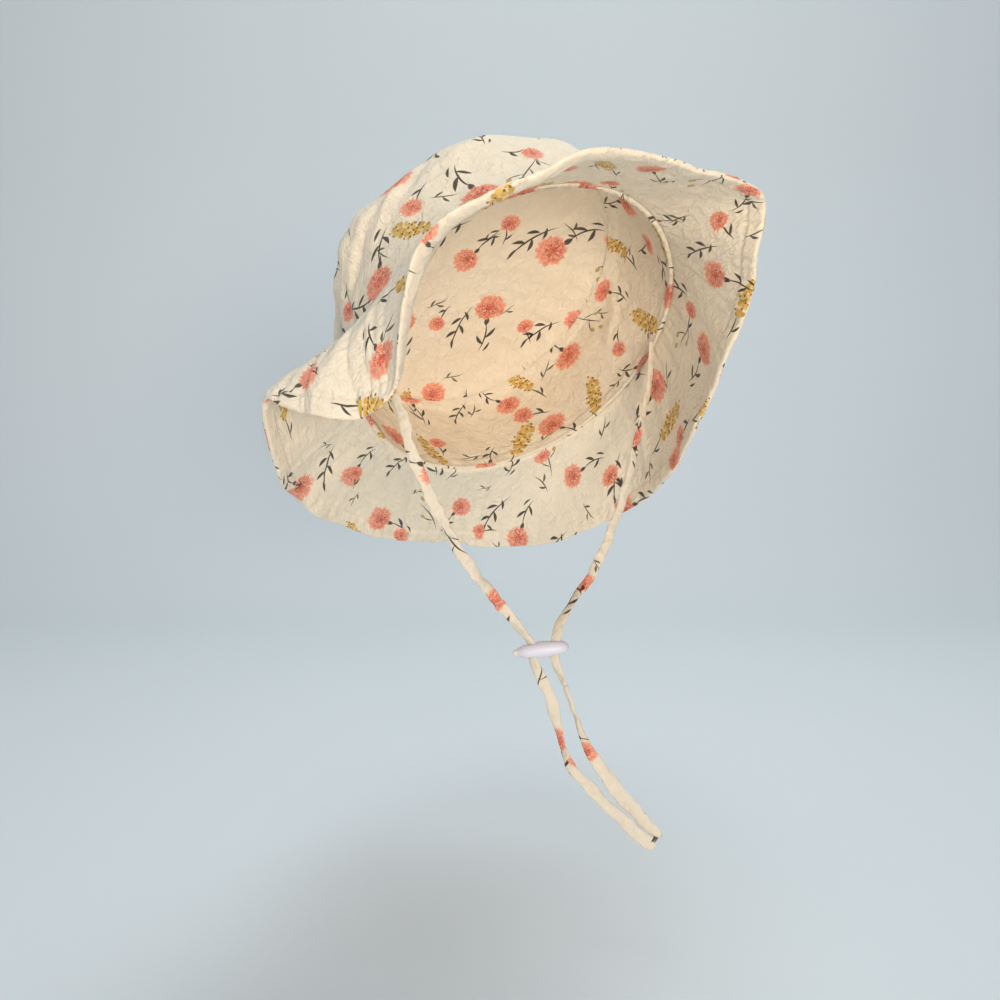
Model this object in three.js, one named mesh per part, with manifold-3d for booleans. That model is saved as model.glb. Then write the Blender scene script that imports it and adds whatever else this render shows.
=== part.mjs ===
import * as THREE from 'three';
import { mergeVertices } from 'three/addons/utils/BufferGeometryUtils.js';
import Module from 'manifold-3d';

// Soft bucket hat with a chin strap, in its worn pose.
// Millimetres, +Z up, the wearer looks along -Y.
// The origin is the highest point inside the crown, where the top of the head touches.

const wasm = await Module();
wasm.setup();

// Rim: the oval where crown and brim are sewn together.
const rimHalfWidth = 71;
const rimHalfDepth = 80;
const rimCentre = new THREE.Vector3(-2.4, 12.5, -82.2);

// Worn pose: the crown axis leans back and is turned to the left.
const leanBackDegrees = 50;
const turnLeftDegrees = 26;

// Cloth.
const crownWall = 1.6;
const brimWall = 1.8;

// Seams: the shares of the crown and the brim where neighbouring pieces begin and end.
const bandBegin = 0.003;
const bandEnd = 0.494;
const tipBegin = 0.506;
const tipEnd = 0.94;
const brimBegin = 0.011;

// Crown shape: each row is one level from the rim up to the middle of the tip.
const crownHeight = 58;
const crownSagLeft = 5;
const crownSagBack = 8;
const crownLevels = [
  { level: 0.0, height: 0, inset: 0 },
  { level: 0.11, height: 10, inset: 0 },
  { level: 0.22, height: 22, inset: 0.5 },
  { level: 0.33, height: 34, inset: 0.5 },
  { level: 0.44, height: 44, inset: -2 },
  { level: 0.56, height: 51, inset: -9 },
  { level: 0.67, height: 55, inset: -20 },
  { level: 0.78, height: 57, inset: -36 },
  { level: 0.89, height: 58, inset: -54 },
  { level: 1.0, height: 58, inset: -71 },
];

// Soft dents in the crown: middle angle and level, reach each way, depth inwards.
const crownDents = [
  { angle: 259, level: 0.42, spread: 16, reach: 0.2, depth: 5.6 },
  { angle: 287, level: 0.26, spread: 12, reach: 0.09, depth: 2 },
  { angle: 292, level: 0.48, spread: 10, reach: 0.1, depth: -2 },
  { angle: 318, level: 0.42, spread: 14, reach: 0.1, depth: 1.8 },
  { angle: 334, level: 0.47, spread: 8, reach: 0.1, depth: -1.4 },
  { angle: 356, level: 0.43, spread: 10, reach: 0.1, depth: 1.6 },
  { angle: 30, level: 0.35, spread: 16, reach: 0.12, depth: 2 },
  { angle: 110, level: 0.3, spread: 18, reach: 0.14, depth: 3 },
  { angle: 200, level: 0.35, spread: 18, reach: 0.14, depth: 3 },
];

// Brim sections round the rim, from the front over the right side to the back and the left.
// out, lift and swing lead from the rim to the hem; belly rounds the section upwards,
// and curl turns up its hem strip, which begins at a share of the width.
const curlBegin = 0.86;
const brimSections = [
  { angle: 0, out: 35.5, lift: -38.5, swing: -8, belly: 1, curl: 1.6 },
  { angle: 14, out: 33.5, lift: -38.5, swing: -10, belly: 0, curl: 0 },
  { angle: 24, out: 36, lift: -39.5, swing: -11, belly: 0, curl: 0 },
  { angle: 33, out: 36.5, lift: -40, swing: -10, belly: 0, curl: 0 },
  { angle: 45, out: 20, lift: -48, swing: -16, belly: -1, curl: 0 },
  { angle: 60, out: 5, lift: -54, swing: -18, belly: 0, curl: 0 },
  { angle: 86, out: -12, lift: -59, swing: -2, belly: 3, curl: 0 },
  { angle: 105, out: 3, lift: -50, swing: 17, belly: 4, curl: 0 },
  { angle: 132, out: 38, lift: -26, swing: 26, belly: 4, curl: 0 },
  { angle: 165, out: 60, lift: -4, swing: 4, belly: 4, curl: 0 },
  { angle: 195, out: 56, lift: 6, swing: -24, belly: 3, curl: 0 },
  { angle: 214, out: 51.5, lift: 6.2, swing: -29, belly: 3, curl: 0 },
  { angle: 230, out: 46, lift: 2, swing: -26, belly: 3, curl: 0 },
  { angle: 243, out: 43, lift: -10, swing: -19, belly: 4, curl: 0 },
  { angle: 253, out: 41, lift: -16, swing: -8, belly: 6, curl: 0 },
  { angle: 262, out: 42, lift: -18, swing: 3, belly: 7, curl: 0 },
  { angle: 270, out: 39, lift: -30, swing: -4, belly: 7, curl: 0 },
  { angle: 283, out: 25, lift: -48, swing: -18, belly: 6, curl: 0 },
  { angle: 296, out: 10, lift: -54, swing: -26, belly: 4, curl: 0.8 },
  { angle: 305, out: 6.5, lift: -54, swing: -26, belly: 2, curl: 2 },
  { angle: 319, out: 23, lift: -48.5, swing: -23.5, belly: 2, curl: 4 },
  { angle: 325, out: 30, lift: -45, swing: -23.5, belly: 2, curl: 4.8 },
  { angle: 332, out: 35, lift: -45, swing: -22.5, belly: 2, curl: 4.4 },
  { angle: 346, out: 37, lift: -46, swing: -19, belly: 2, curl: 3.4 },
  { angle: 353, out: 39.5, lift: -42, swing: -14, belly: 1.5, curl: 2.6 },
];

// Soft pleats of the brim: they begin at a share of its width and grow towards the hem.
const brimPleats = [
  { angle: 8, spread: 5, depth: 0.6, begin: 0.1 },
  { angle: 20, spread: 5, depth: -0.2, begin: 0.1 },
  { angle: 52, spread: 6, depth: 2, begin: 0.1 },
  { angle: 70, spread: 7, depth: -2.2, begin: 0.1 },
  { angle: 120, spread: 8, depth: 3, begin: 0.1 },
  { angle: 148, spread: 9, depth: -3, begin: 0.1 },
  { angle: 180, spread: 9, depth: 3, begin: 0.1 },
  { angle: 216, spread: 5, depth: 1.3, begin: 0 },
  { angle: 227, spread: 4.5, depth: -2.4, begin: 0 },
  { angle: 237, spread: 4.5, depth: 2.4, begin: 0 },
  { angle: 247, spread: 4, depth: -2.2, begin: 0 },
  { angle: 274, spread: 3.5, depth: -2.2, begin: 0 },
  { angle: 281, spread: 3.5, depth: 2.2, begin: 0 },
  { angle: 290, spread: 4, depth: -2, begin: 0 },
];

// Chin strap: two strands from the side seams, through the toggle, to the sewn end.
const strapWidth = 4.2;
const strapSides = 8;
const strapSteps = 42;
const leftRoute = [
  { x: -62, y: -18.5, z: -81 },
  { x: -60.5, y: -31.5, z: -86 },
  { x: -56.5, y: -44.5, z: -93 },
  { x: -50.5, y: -54.5, z: -99.5 },
  { x: -47.5, y: -56.5, z: -106 },
  { x: -43.5, y: -57.5, z: -121 },
  { x: -37, y: -55.5, z: -138 },
  { x: -30.5, y: -51.5, z: -152.5 },
  { x: -24, y: -46.5, z: -165 },
  { x: -18, y: -42.5, z: -174 },
  { x: -8.5, y: -36.5, z: -187.5 },
  { x: -1, y: -32, z: -198 },
  { x: 2.2, y: -30.3, z: -203 },
  { x: 2.8, y: -30, z: -208.5 },
  { x: 4.5, y: -30.3, z: -213.5 },
  { x: 10, y: -31.5, z: -225 },
  { x: 14, y: -32.5, z: -240.5 },
  { x: 18.5, y: -34.5, z: -253.5 },
  { x: 26.5, y: -35.5, z: -262.5 },
  { x: 39, y: -37.5, z: -275 },
  { x: 48, y: -38.5, z: -283 },
  { x: 53, y: -39.5, z: -286.5 },
];
const rightRoute = [
  { x: 58, y: 42, z: -83 },
  { x: 56.1, y: 34, z: -101.8 },
  { x: 50.6, y: 24, z: -123.3 },
  { x: 44.3, y: 13, z: -145.4 },
  { x: 36.2, y: 2.5, z: -165.4 },
  { x: 28.4, y: -6, z: -179.8 },
  { x: 21.7, y: -14, z: -186.9 },
  { x: 15, y: -24, z: -195 },
  { x: 12.1, y: -29.7, z: -201.5 },
  { x: 12, y: -30, z: -208.5 },
  { x: 13.3, y: -30.2, z: -214 },
  { x: 17, y: -30, z: -223 },
  { x: 21.2, y: -30.5, z: -235.5 },
  { x: 25.6, y: -31.5, z: -246.5 },
  { x: 32.8, y: -32.5, z: -257.7 },
  { x: 41, y: -34.7, z: -268.1 },
  { x: 49.4, y: -36.8, z: -277 },
  { x: 55.4, y: -38.6, z: -282.6 },
];

// Toggle: an oval slider with two holes and a short tapered nose on its left.
const toggleCentre = new THREE.Vector3(7.3, -29.8, -205.6);
const toggleTiltDegrees = 3;
const toggleDepthRatio = 1.45;
const toggleHoleSpacing = 9.5;
const toggleHoleWidth = 5.8;
const toggleHoleDepth = 6.6;
const toggleOutline = [
  { along: -12.6, radius: 0 },
  { along: -12.5, radius: 0.9 },
  { along: -10.6, radius: 1.5 },
  { along: -9.7, radius: 2.3 },
  { along: -8.2, radius: 3 },
  { along: -5, radius: 3.4 },
  { along: 5, radius: 3.4 },
  { along: 8, radius: 3.1 },
  { along: 9.6, radius: 2.2 },
  { along: 10.2, radius: 1 },
  { along: 10.3, radius: 0 },
];

// Mesh counts.
const crownTurns = 72;
const bandRows = 5;
const tipRows = 5;
const brimTurns = 144;
const brimRows = 7;

const degrees = THREE.MathUtils.degToRad;

// Directions of the rim frame in the world.
const leanBack = degrees(leanBackDegrees);
const turnLeft = degrees(turnLeftDegrees);
const rightward = new THREE.Vector3(Math.cos(turnLeft), Math.sin(turnLeft), 0);
const crownAxis = new THREE.Vector3(
  -Math.sin(turnLeft) * Math.sin(leanBack),
  Math.cos(turnLeft) * Math.sin(leanBack),
  Math.cos(leanBack),
);
const forward = new THREE.Vector3().crossVectors(rightward, crownAxis);

// A point given by its right, forward and axis sizes in the rim frame.
function fromRim(right, front, axial) {
  return rimCentre.clone()
    .addScaledVector(rightward, right)
    .addScaledVector(forward, front)
    .addScaledVector(crownAxis, axial);
}

// Smooth curve through one column of a table, with slopes taken from each row's neighbours.
function smoothColumn(rows, key, column, at, period) {
  const count = rows.length;
  const row = (index) => {
    if (period) {
      const wrapped = ((index % count) + count) % count;
      const shift = Math.floor(index / count) * period;
      return { at: rows[wrapped][key] + shift, value: rows[wrapped][column] };
    }
    const inside = Math.min(Math.max(index, 0), count - 1);
    const beyond = index - inside;
    const next = rows[inside - Math.sign(beyond)];
    const gapAt = beyond ? rows[inside][key] - next[key] : 0;
    const gapValue = beyond ? rows[inside][column] - next[column] : 0;
    return { at: rows[inside][key] + gapAt, value: rows[inside][column] + gapValue };
  };
  let place = at;
  if (period) {
    place = ((at - rows[0][key]) % period + period) % period + rows[0][key];
  }
  let index = 0;
  const last = period ? count - 1 : count - 2;
  while (index < last && place >= row(index + 1).at) {
    index += 1;
  }
  const before = row(index - 1);
  const start = row(index);
  const end = row(index + 1);
  const after = row(index + 2);
  const width = end.at - start.at;
  const share = (place - start.at) / width;
  const startSlope = (end.value - before.value) / (end.at - before.at) * width;
  const endSlope = (after.value - start.value) / (after.at - start.at) * width;
  const square = share * share;
  const cube = square * share;
  return (2 * cube - 3 * square + 1) * start.value
    + (cube - 2 * square + share) * startSlope
    + (3 * square - 2 * cube) * end.value
    + (cube - square) * endSlope;
}

// The signed turn from one angle to another, within half a turn each way.
function turnBetween(from, to) {
  return ((to - from + 540) % 360) - 180;
}

// Outer face of the crown: the rim oval drawn in, raised and pushed along the sag.
function crownPoint(angle, level) {
  const turn = degrees(angle);
  const height = smoothColumn(crownLevels, 'level', 'height', level, 0);
  const inset = smoothColumn(crownLevels, 'level', 'inset', level, 0);
  let dent = 0;
  for (const row of crownDents) {
    const across = turnBetween(row.angle, angle) / row.spread;
    const along = (level - row.level) / row.reach;
    dent += row.depth * Math.exp(-across * across - along * along);
  }
  const scale = (rimHalfWidth + inset - dent) / rimHalfWidth;
  const sag = Math.pow(Math.max(height, 0) / crownHeight, 1.5);
  return fromRim(
    rimHalfWidth * scale * Math.sin(turn) - crownSagLeft * sag,
    rimHalfDepth * scale * Math.cos(turn) - crownSagBack * sag,
    height,
  );
}

// Middle face of the brim: a section from the rim to the hem, rounded by its belly, pleats and curl.
function brimPoint(angle, share) {
  const turn = degrees(angle);
  const sine = Math.sin(turn);
  const cosine = Math.cos(turn);
  const outLength = Math.hypot(sine / rimHalfWidth, cosine / rimHalfDepth);
  const outRight = sine / rimHalfWidth / outLength;
  const outFront = cosine / rimHalfDepth / outLength;
  const out = smoothColumn(brimSections, 'angle', 'out', angle, 360);
  const lift = smoothColumn(brimSections, 'angle', 'lift', angle, 360);
  const swing = smoothColumn(brimSections, 'angle', 'swing', angle, 360);
  const belly = smoothColumn(brimSections, 'angle', 'belly', angle, 360);
  const curl = smoothColumn(brimSections, 'angle', 'curl', angle, 360);
  const hemShare = Math.max(0, (share - curlBegin) / (1 - curlBegin));
  let rise = belly * 4 * share * (1 - share) + curl * hemShare * hemShare;
  for (const row of brimPleats) {
    const across = turnBetween(row.angle, angle) / row.spread;
    const growth = Math.max(0, (share - row.begin) / (1 - row.begin));
    rise += row.depth * growth * Math.exp(-across * across);
  }
  const chord = Math.hypot(out, lift);
  const sideways = out * share - rise * lift / chord;
  const upwards = lift * share + rise * out / chord;
  return fromRim(
    rimHalfWidth * sine + outRight * sideways + outFront * swing * share,
    rimHalfDepth * cosine + outFront * sideways - outRight * swing * share,
    upwards,
  );
}

// Unit normal of a surface by small steps in both directions.
function surfaceNormal(surface, angle, share) {
  const step = 1e-3;
  const low = Math.max(0, share - step);
  const high = Math.min(0.999, share + step);
  const alongAngle = surface(angle + 0.05, share).sub(surface(angle - 0.05, share));
  const alongShare = surface(angle, high).sub(surface(angle, low));
  return alongAngle.cross(alongShare).normalize();
}

// Closed solid from a list of points and a list of triangles.
function solidFrom(points, triangles) {
  const geometry = new THREE.BufferGeometry();
  const positions = new Float32Array(points.flatMap((point) => [point.x, point.y, point.z]));
  geometry.setAttribute('position', new THREE.BufferAttribute(positions, 3));
  geometry.setIndex(triangles);
  const merged = mergeVertices(geometry, 1e-3);
  merged.computeVertexNormals();
  return merged;
}

// A wall of cloth: two faces a wall apart, closed along its first edge.
// A cap closes both faces at the middle of the tip, a ring closes its last edge too.
function clothWall(surface, turns, shares, offsets, isCap) {
  const points = [];
  const triangles = [];
  const rows = shares.length;
  const last = rows - 1;
  for (const offset of offsets) {
    for (let turn = 0; turn < turns; turn += 1) {
      for (const share of shares) {
        const angle = turn * 360 / turns;
        const normal = surfaceNormal(surface, angle, share);
        points.push(surface(angle, share).addScaledVector(normal, offset));
      }
    }
  }
  const middles = points.length;
  if (isCap) {
    points.push(surface(0, 1).addScaledVector(crownAxis, offsets[0]));
    points.push(surface(0, 1).addScaledVector(crownAxis, offsets[1]));
  }
  const spot = (face, turn, row) => (face * turns + (turn % turns)) * rows + row;
  const quad = (a, b, c, d) => triangles.push(a, b, c, a, c, d);
  for (let turn = 0; turn < turns; turn += 1) {
    for (let row = 0; row < last; row += 1) {
      quad(spot(0, turn, row), spot(0, turn + 1, row), spot(0, turn + 1, row + 1), spot(0, turn, row + 1));
      quad(spot(1, turn, row), spot(1, turn, row + 1), spot(1, turn + 1, row + 1), spot(1, turn + 1, row));
    }
    quad(spot(0, turn, 0), spot(1, turn, 0), spot(1, turn + 1, 0), spot(0, turn + 1, 0));
    if (isCap) {
      triangles.push(spot(0, turn, last), spot(0, turn + 1, last), middles);
      triangles.push(spot(1, turn + 1, last), spot(1, turn, last), middles + 1);
    } else {
      quad(spot(0, turn, last), spot(0, turn + 1, last), spot(1, turn + 1, last), spot(1, turn, last));
    }
  }
  return solidFrom(points, triangles);
}

// Even shares from one level to another.
function evenShares(from, to, rows) {
  return Array.from({ length: rows + 1 }, (unused, index) => from + (to - from) * index / rows);
}

// One strand of the strap: a many-sided tube carried along its route.
function strand(route) {
  const points = route.map((row) => new THREE.Vector3(row.x, row.y, row.z));
  const section = new THREE.Shape();
  for (let side = 0; side < strapSides; side += 1) {
    const turn = side * 2 * Math.PI / strapSides;
    const across = strapWidth / 2 * Math.cos(turn);
    const along = strapWidth / 2 * Math.sin(turn);
    if (side === 0) {
      section.moveTo(across, along);
    } else {
      section.lineTo(across, along);
    }
  }
  section.closePath();
  const tube = new THREE.ExtrudeGeometry(section, {
    steps: strapSteps,
    extrudePath: new THREE.CatmullRomCurve3(points),
    bevelEnabled: false,
  });
  tube.deleteAttribute('uv');
  tube.deleteAttribute('normal');
  const merged = mergeVertices(tube, 1e-3);
  merged.computeVertexNormals();
  return merged;
}

// Boolean body of a closed geometry.
function bodyOf(geometry) {
  const mesh = new wasm.Mesh({
    numProp: 3,
    vertProperties: new Float32Array(geometry.attributes.position.array),
    triVerts: new Uint32Array(geometry.index.array),
  });
  return new wasm.Manifold(mesh);
}

// The toggle: a turned outline made deeper than tall, with two upright oval holes cut through.
function toggleSolid() {
  const outline = toggleOutline.map((row) => new THREE.Vector2(row.radius, row.along));
  const turned = new THREE.LatheGeometry(outline, 24);
  turned.deleteAttribute('uv');
  turned.deleteAttribute('normal');
  turned.rotateZ(-Math.PI / 2);
  turned.scale(1, toggleDepthRatio, 1);
  let body = bodyOf(mergeVertices(turned, 1e-3));
  for (const side of [-1, 1]) {
    const drill = new THREE.CylinderGeometry(0.5, 0.5, 12, 16);
    drill.deleteAttribute('uv');
    drill.deleteAttribute('normal');
    drill.rotateX(Math.PI / 2);
    drill.scale(toggleHoleWidth, toggleHoleDepth, 1);
    drill.translate(side * toggleHoleSpacing / 2, 0, 0);
    body = body.subtract(bodyOf(mergeVertices(drill, 1e-3)));
  }
  const cut = body.getMesh();
  const geometry = new THREE.BufferGeometry();
  geometry.setAttribute('position', new THREE.BufferAttribute(new Float32Array(cut.vertProperties), 3));
  geometry.setIndex(Array.from(cut.triVerts));
  geometry.rotateY(-degrees(toggleTiltDegrees));
  geometry.translate(toggleCentre.x, toggleCentre.y, toggleCentre.z);
  const merged = mergeVertices(geometry, 1e-3);
  merged.computeVertexNormals();
  return merged;
}

// A named piece with a material of its own.
function piece(name, geometry, color, roughness) {
  const material = new THREE.MeshStandardMaterial({ color, roughness, metalness: 0 });
  const mesh = new THREE.Mesh(geometry, material);
  mesh.name = name;
  return mesh;
}

const bandShares = evenShares(bandBegin, bandEnd, bandRows);
const tipShares = evenShares(tipBegin, tipEnd, tipRows);
const brimShares = evenShares(brimBegin, 1, brimRows);
const crownFaces = [0, -crownWall];
const brimFaces = [brimWall / 2, -brimWall / 2];

const creamCloth = 0xf4ecdc;
const paleToggle = 0xeeedf5;

const hat = new THREE.Group();
hat.name = 'bucket_hat';
hat.add(piece('crown_tip', clothWall(crownPoint, crownTurns, tipShares, crownFaces, true), creamCloth, 0.9));
hat.add(piece('crown_band', clothWall(crownPoint, crownTurns, bandShares, crownFaces, false), creamCloth, 0.9));
hat.add(piece('brim', clothWall(brimPoint, brimTurns, brimShares, brimFaces, false), creamCloth, 0.9));
hat.add(piece('strap_left', strand(leftRoute), creamCloth, 0.9));
hat.add(piece('strap_right', strand(rightRoute), creamCloth, 0.9));
hat.add(piece('toggle', toggleSolid(), paleToggle, 0.45));

export default hat;
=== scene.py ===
import math
import bpy
import bmesh
import numpy as np
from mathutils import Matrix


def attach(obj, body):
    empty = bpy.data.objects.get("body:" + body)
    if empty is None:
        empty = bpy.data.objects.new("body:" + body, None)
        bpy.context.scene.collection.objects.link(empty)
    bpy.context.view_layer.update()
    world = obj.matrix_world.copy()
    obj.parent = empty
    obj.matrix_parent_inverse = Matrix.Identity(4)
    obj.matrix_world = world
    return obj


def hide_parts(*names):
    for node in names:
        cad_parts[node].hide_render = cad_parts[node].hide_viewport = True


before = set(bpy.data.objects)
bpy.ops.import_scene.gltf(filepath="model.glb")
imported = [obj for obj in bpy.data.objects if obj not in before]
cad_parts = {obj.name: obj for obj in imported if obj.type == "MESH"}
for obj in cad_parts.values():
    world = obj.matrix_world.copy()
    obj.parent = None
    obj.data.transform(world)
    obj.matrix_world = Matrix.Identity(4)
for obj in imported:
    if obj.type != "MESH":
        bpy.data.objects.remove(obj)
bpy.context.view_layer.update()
mm = 0.001
print("hat: frame loaded")


# camera where the photograph was taken, level across and tipped a little down
photoView = {
    "place": (-0.0104, -0.4995, -0.0722),
    "downDegrees": 8.7,
    "lens": 42.84,
}
cameraData = bpy.data.cameras.new("photoCamera")
cameraData.sensor_width = 36.0
cameraData.lens = photoView["lens"]
cameraData.clip_start = 0.01
camera = bpy.data.objects.new("photoCamera", cameraData)
camera.location = photoView["place"]
camera.rotation_euler = (math.radians(90 - photoView["downDegrees"]), 0, 0)
bpy.context.scene.collection.objects.link(camera)
bpy.context.scene.camera = camera
bpy.context.scene.view_settings.view_transform = "Standard"


# smooth curve through rows of (at, value): cubic pieces whose slopes come from each row's neighbours
def smoothColumn(rowsAt, rowsValue, at, period=0):
    rowsAt = np.asarray(rowsAt, float)
    rowsValue = np.asarray(rowsValue, float)
    if period:
        at = (at - rowsAt[0]) % period + rowsAt[0]
        allAt = np.concatenate([rowsAt[-2:] - period, rowsAt, rowsAt[:3] + period])
        allValue = np.concatenate([rowsValue[-2:], rowsValue, rowsValue[:3]])
    else:
        allAt = np.concatenate([[2 * rowsAt[0] - rowsAt[1]], rowsAt, [2 * rowsAt[-1] - rowsAt[-2]]])
        allValue = np.concatenate([
            [2 * rowsValue[0] - rowsValue[1]], rowsValue, [2 * rowsValue[-1] - rowsValue[-2]]])
    start = np.clip(np.searchsorted(allAt, at, side="right") - 1, 1, len(allAt) - 3)
    width = allAt[start + 1] - allAt[start]
    share = (at - allAt[start]) / width
    slopes = (allValue[2:] - allValue[:-2]) / (allAt[2:] - allAt[:-2])
    first = slopes[start - 1] * width
    second = slopes[start] * width
    square = share * share
    cube = square * share
    return ((2 * cube - 3 * square + 1) * allValue[start] + (cube - 2 * square + share) * first
            + (3 * square - 2 * cube) * allValue[start + 1] + (cube - square) * second)


# signed turn in degrees from one angle to another, within half a turn
def turnBetween(fromAngle, toAngle):
    return (toAngle - fromAngle + 540) % 360 - 180


# corner columns and rows of a grid's quads: the last column steps on by one, the rows wrap where asked
def gridFaces(columns, rows, wrapRows):
    column, row = np.meshgrid(np.arange(columns), np.arange(rows if wrapRows else rows - 1), indexing="ij")
    nextColumn = column + 1
    nextRow = (row + 1) % rows
    corners = [(column, row), (nextColumn, row), (nextColumn, nextRow), (column, nextRow)]
    cornerColumns = np.stack([c for c, r in corners], axis=-1).reshape(-1, 4)
    cornerRows = np.stack([r for c, r in corners], axis=-1).reshape(-1, 4)
    return cornerColumns, cornerRows, row.reshape(-1)


# mesh object from points in millimetres, lists of faces and, where given, one fabric place per face corner
def addPiece(name, points, faces, fabric=None):
    mesh = bpy.data.meshes.new(name)
    mesh.from_pydata((np.asarray(points) * mm).tolist(), [], faces)
    mesh.polygons.foreach_set("use_smooth", np.ones(len(mesh.polygons), bool))
    if fabric is not None:
        layer = mesh.uv_layers.new(name="fabric")
        layer.uv.foreach_set("vector", np.asarray(fabric, np.float32).ravel())
    mesh.update()
    piece = bpy.data.objects.new(name, mesh)
    bpy.context.scene.collection.objects.link(piece)
    return piece


# the pose of the rim oval, where crown and brim are sewn together
hatPose = {
    "halfWidth": 71.0,
    "halfDepth": 80.0,
    "centre": np.array([-2.4, 12.5, -82.2]),
    "leanBack": math.radians(50),
    "turnLeft": math.radians(26),
}
turnLeft = hatPose["turnLeft"]
leanBack = hatPose["leanBack"]
rightward = np.array([math.cos(turnLeft), math.sin(turnLeft), 0.0])
crownAxis = np.array([
    -math.sin(turnLeft) * math.sin(leanBack),
    math.cos(turnLeft) * math.sin(leanBack),
    math.cos(leanBack)])
forward = np.cross(rightward, crownAxis)


# point from its right, front and axial sizes in the rim's frame
def fromRim(right, front, axial):
    return (hatPose["centre"] + right[..., None] * rightward
            + front[..., None] * forward + axial[..., None] * crownAxis)


# outward unit normals of a grid: cross product of the steps along its columns and along its rows
def gridNormals(points):
    around = np.roll(points, -1, axis=0) - np.roll(points, 1, axis=0)
    along = np.gradient(points, axis=1)
    normal = np.cross(around, along)
    return normal / np.maximum(np.linalg.norm(normal, axis=-1, keepdims=True), 1e-9)


# rolling cloth: a sum of slow sine waves, whole waves round the ring, with seeded turns and phases
def clothWaves(angle, distance, waves):
    chance = np.random.default_rng(waves["seed"])
    turn = np.radians(angle)
    total = np.zeros(np.broadcast(angle, distance).shape)
    for count in range(waves["count"]):
        around = chance.integers(waves["fewest"], waves["most"] + 1)
        along = chance.uniform(-1, 1) * 2 * math.pi / waves["reach"]
        phase = chance.uniform(0, 2 * math.pi)
        total = total + np.sin(around * turn + along * distance + phase)
    return total * waves["depth"] / math.sqrt(waves["count"])


# creases: long soft ridges, each a bell across its line and a wider bell along it
def clothCreases(angle, distance, rows, perDegree):
    total = np.zeros(np.broadcast(angle, distance).shape)
    for atAngle, atDistance, slant, length, spread, depth in rows:
        x = turnBetween(atAngle, angle) * perDegree
        y = distance - atDistance
        cosine = math.cos(math.radians(slant))
        sine = math.sin(math.radians(slant))
        across = (x * cosine - y * sine) / spread
        along = (x * sine + y * cosine) / length
        total = total + depth * np.exp(-across ** 2 - along ** 4)
    return total


crown = {
    "height": 58.0,
    "sagLeft": 5.0,
    "sagBack": 8.0,
    "sagBend": 1.5,
    "tipSeam": 0.5,
    "levels": [0, .11, .22, .33, .44, .56, .67, .78, .89, 1],
    "heights": [0, 10, 22, 34, 44, 51, 55, 57, 58, 58],
    "insets": [0, 0, .5, .5, -2, -9, -20, -36, -54, -71],
    "profileLength": 122.0,
    "wall": 1.4,
    # angle, level, spread, reach and depth of each broad dent
    "dents": [
        (259, .42, 16, .20, 5.6),
        (287, .26, 12, .09, 2.0),
        (292, .48, 10, .10, -2.0),
        (318, .42, 14, .10, 1.8),
        (334, .47, 8, .10, -1.4),
        (356, .43, 10, .10, 1.6),
        (30, .35, 16, .12, 2.0),
        (110, .30, 18, .14, 3.0),
        (200, .35, 18, .14, 3.0),
    ],
    # angle, distance from the rim, slant, length, spread and depth of each crease
    "creases": [
        (287, 34, 62, 16, 2.6, -1.3),
        (290, 40, 62, 18, 3.4, 0.9),
        (308, 42, 55, 20, 2.4, 1.2),
        (311, 37, 52, 20, 2.8, -0.9),
        (330, 26, 40, 18, 3.2, -0.8),
        (338, 46, 70, 22, 3.0, 0.8),
        (350, 18, -8, 18, 1.1, 0.75),
        (272, 24, 20, 16, 2.8, -0.9),
        (262, 46, 75, 20, 3.0, 0.9),
        (20, 30, -35, 18, 3.0, -0.8),
        (60, 26, 30, 18, 3.0, 0.9),
        (95, 40, -50, 20, 3.2, -1.0),
        (135, 24, 25, 18, 3.0, 0.9),
        (170, 36, -30, 22, 3.2, -1.0),
        (215, 30, 35, 20, 3.0, 0.9),
        (240, 22, -20, 18, 2.8, -0.8),
    ],
    "waves": {"seed": 11, "count": 22, "fewest": 9, "most": 34, "reach": 34.0, "depth": 0.34},
    "creasePerDegree": 1.3,
    "smoothRim": 6.0,
    "leastLift": 0.15,
    "tipFade": 2.2,
    "columns": 420,
    "bandRows": 64,
    "tipRows": 56,
    "tipReach": 0.975,
    "seamLap": 0.002,
    # depth and reach of the dip along each seam
    "rimDip": (0.55, 1.1),
    "tipDip": (0.6, 0.9),
    "puckerShare": 0.6,
    "rimPuckers": 5.0,
    "tipPuckers": 4.0,
    # seam allowance inside: thickness, width and softness of its edge
    "allowance": (0.8, 7.0, 0.35),
    "stripLength": 478.0,
    "ovalStretch": 1.06,
    # places of the faces on the printed fabric
    "bandOutside": (0, 11),
    "bandInside": (47, 63),
    "tipFabric": np.array([19.0, 7.0]),
}


# crown face: the rim oval drawn in and raised level by level, pushed along its sag, less its dents
def crownShape(angle, level):
    turn = np.radians(angle)
    height = smoothColumn(crown["levels"], crown["heights"], level)
    inset = smoothColumn(crown["levels"], crown["insets"], level)
    for atAngle, atLevel, spread, reach, depth in crown["dents"]:
        across = turnBetween(atAngle, angle) / spread
        along = (level - atLevel) / reach
        inset = inset - depth * np.exp(-across ** 2 - along ** 2)
    scale = (hatPose["halfWidth"] + inset) / hatPose["halfWidth"]
    sag = (np.maximum(height, 0) / crown["height"]) ** crown["sagBend"]
    return fromRim(
        hatPose["halfWidth"] * scale * np.sin(turn) - crown["sagLeft"] * sag,
        hatPose["halfDepth"] * scale * np.cos(turn) - crown["sagBack"] * sag,
        height)


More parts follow.
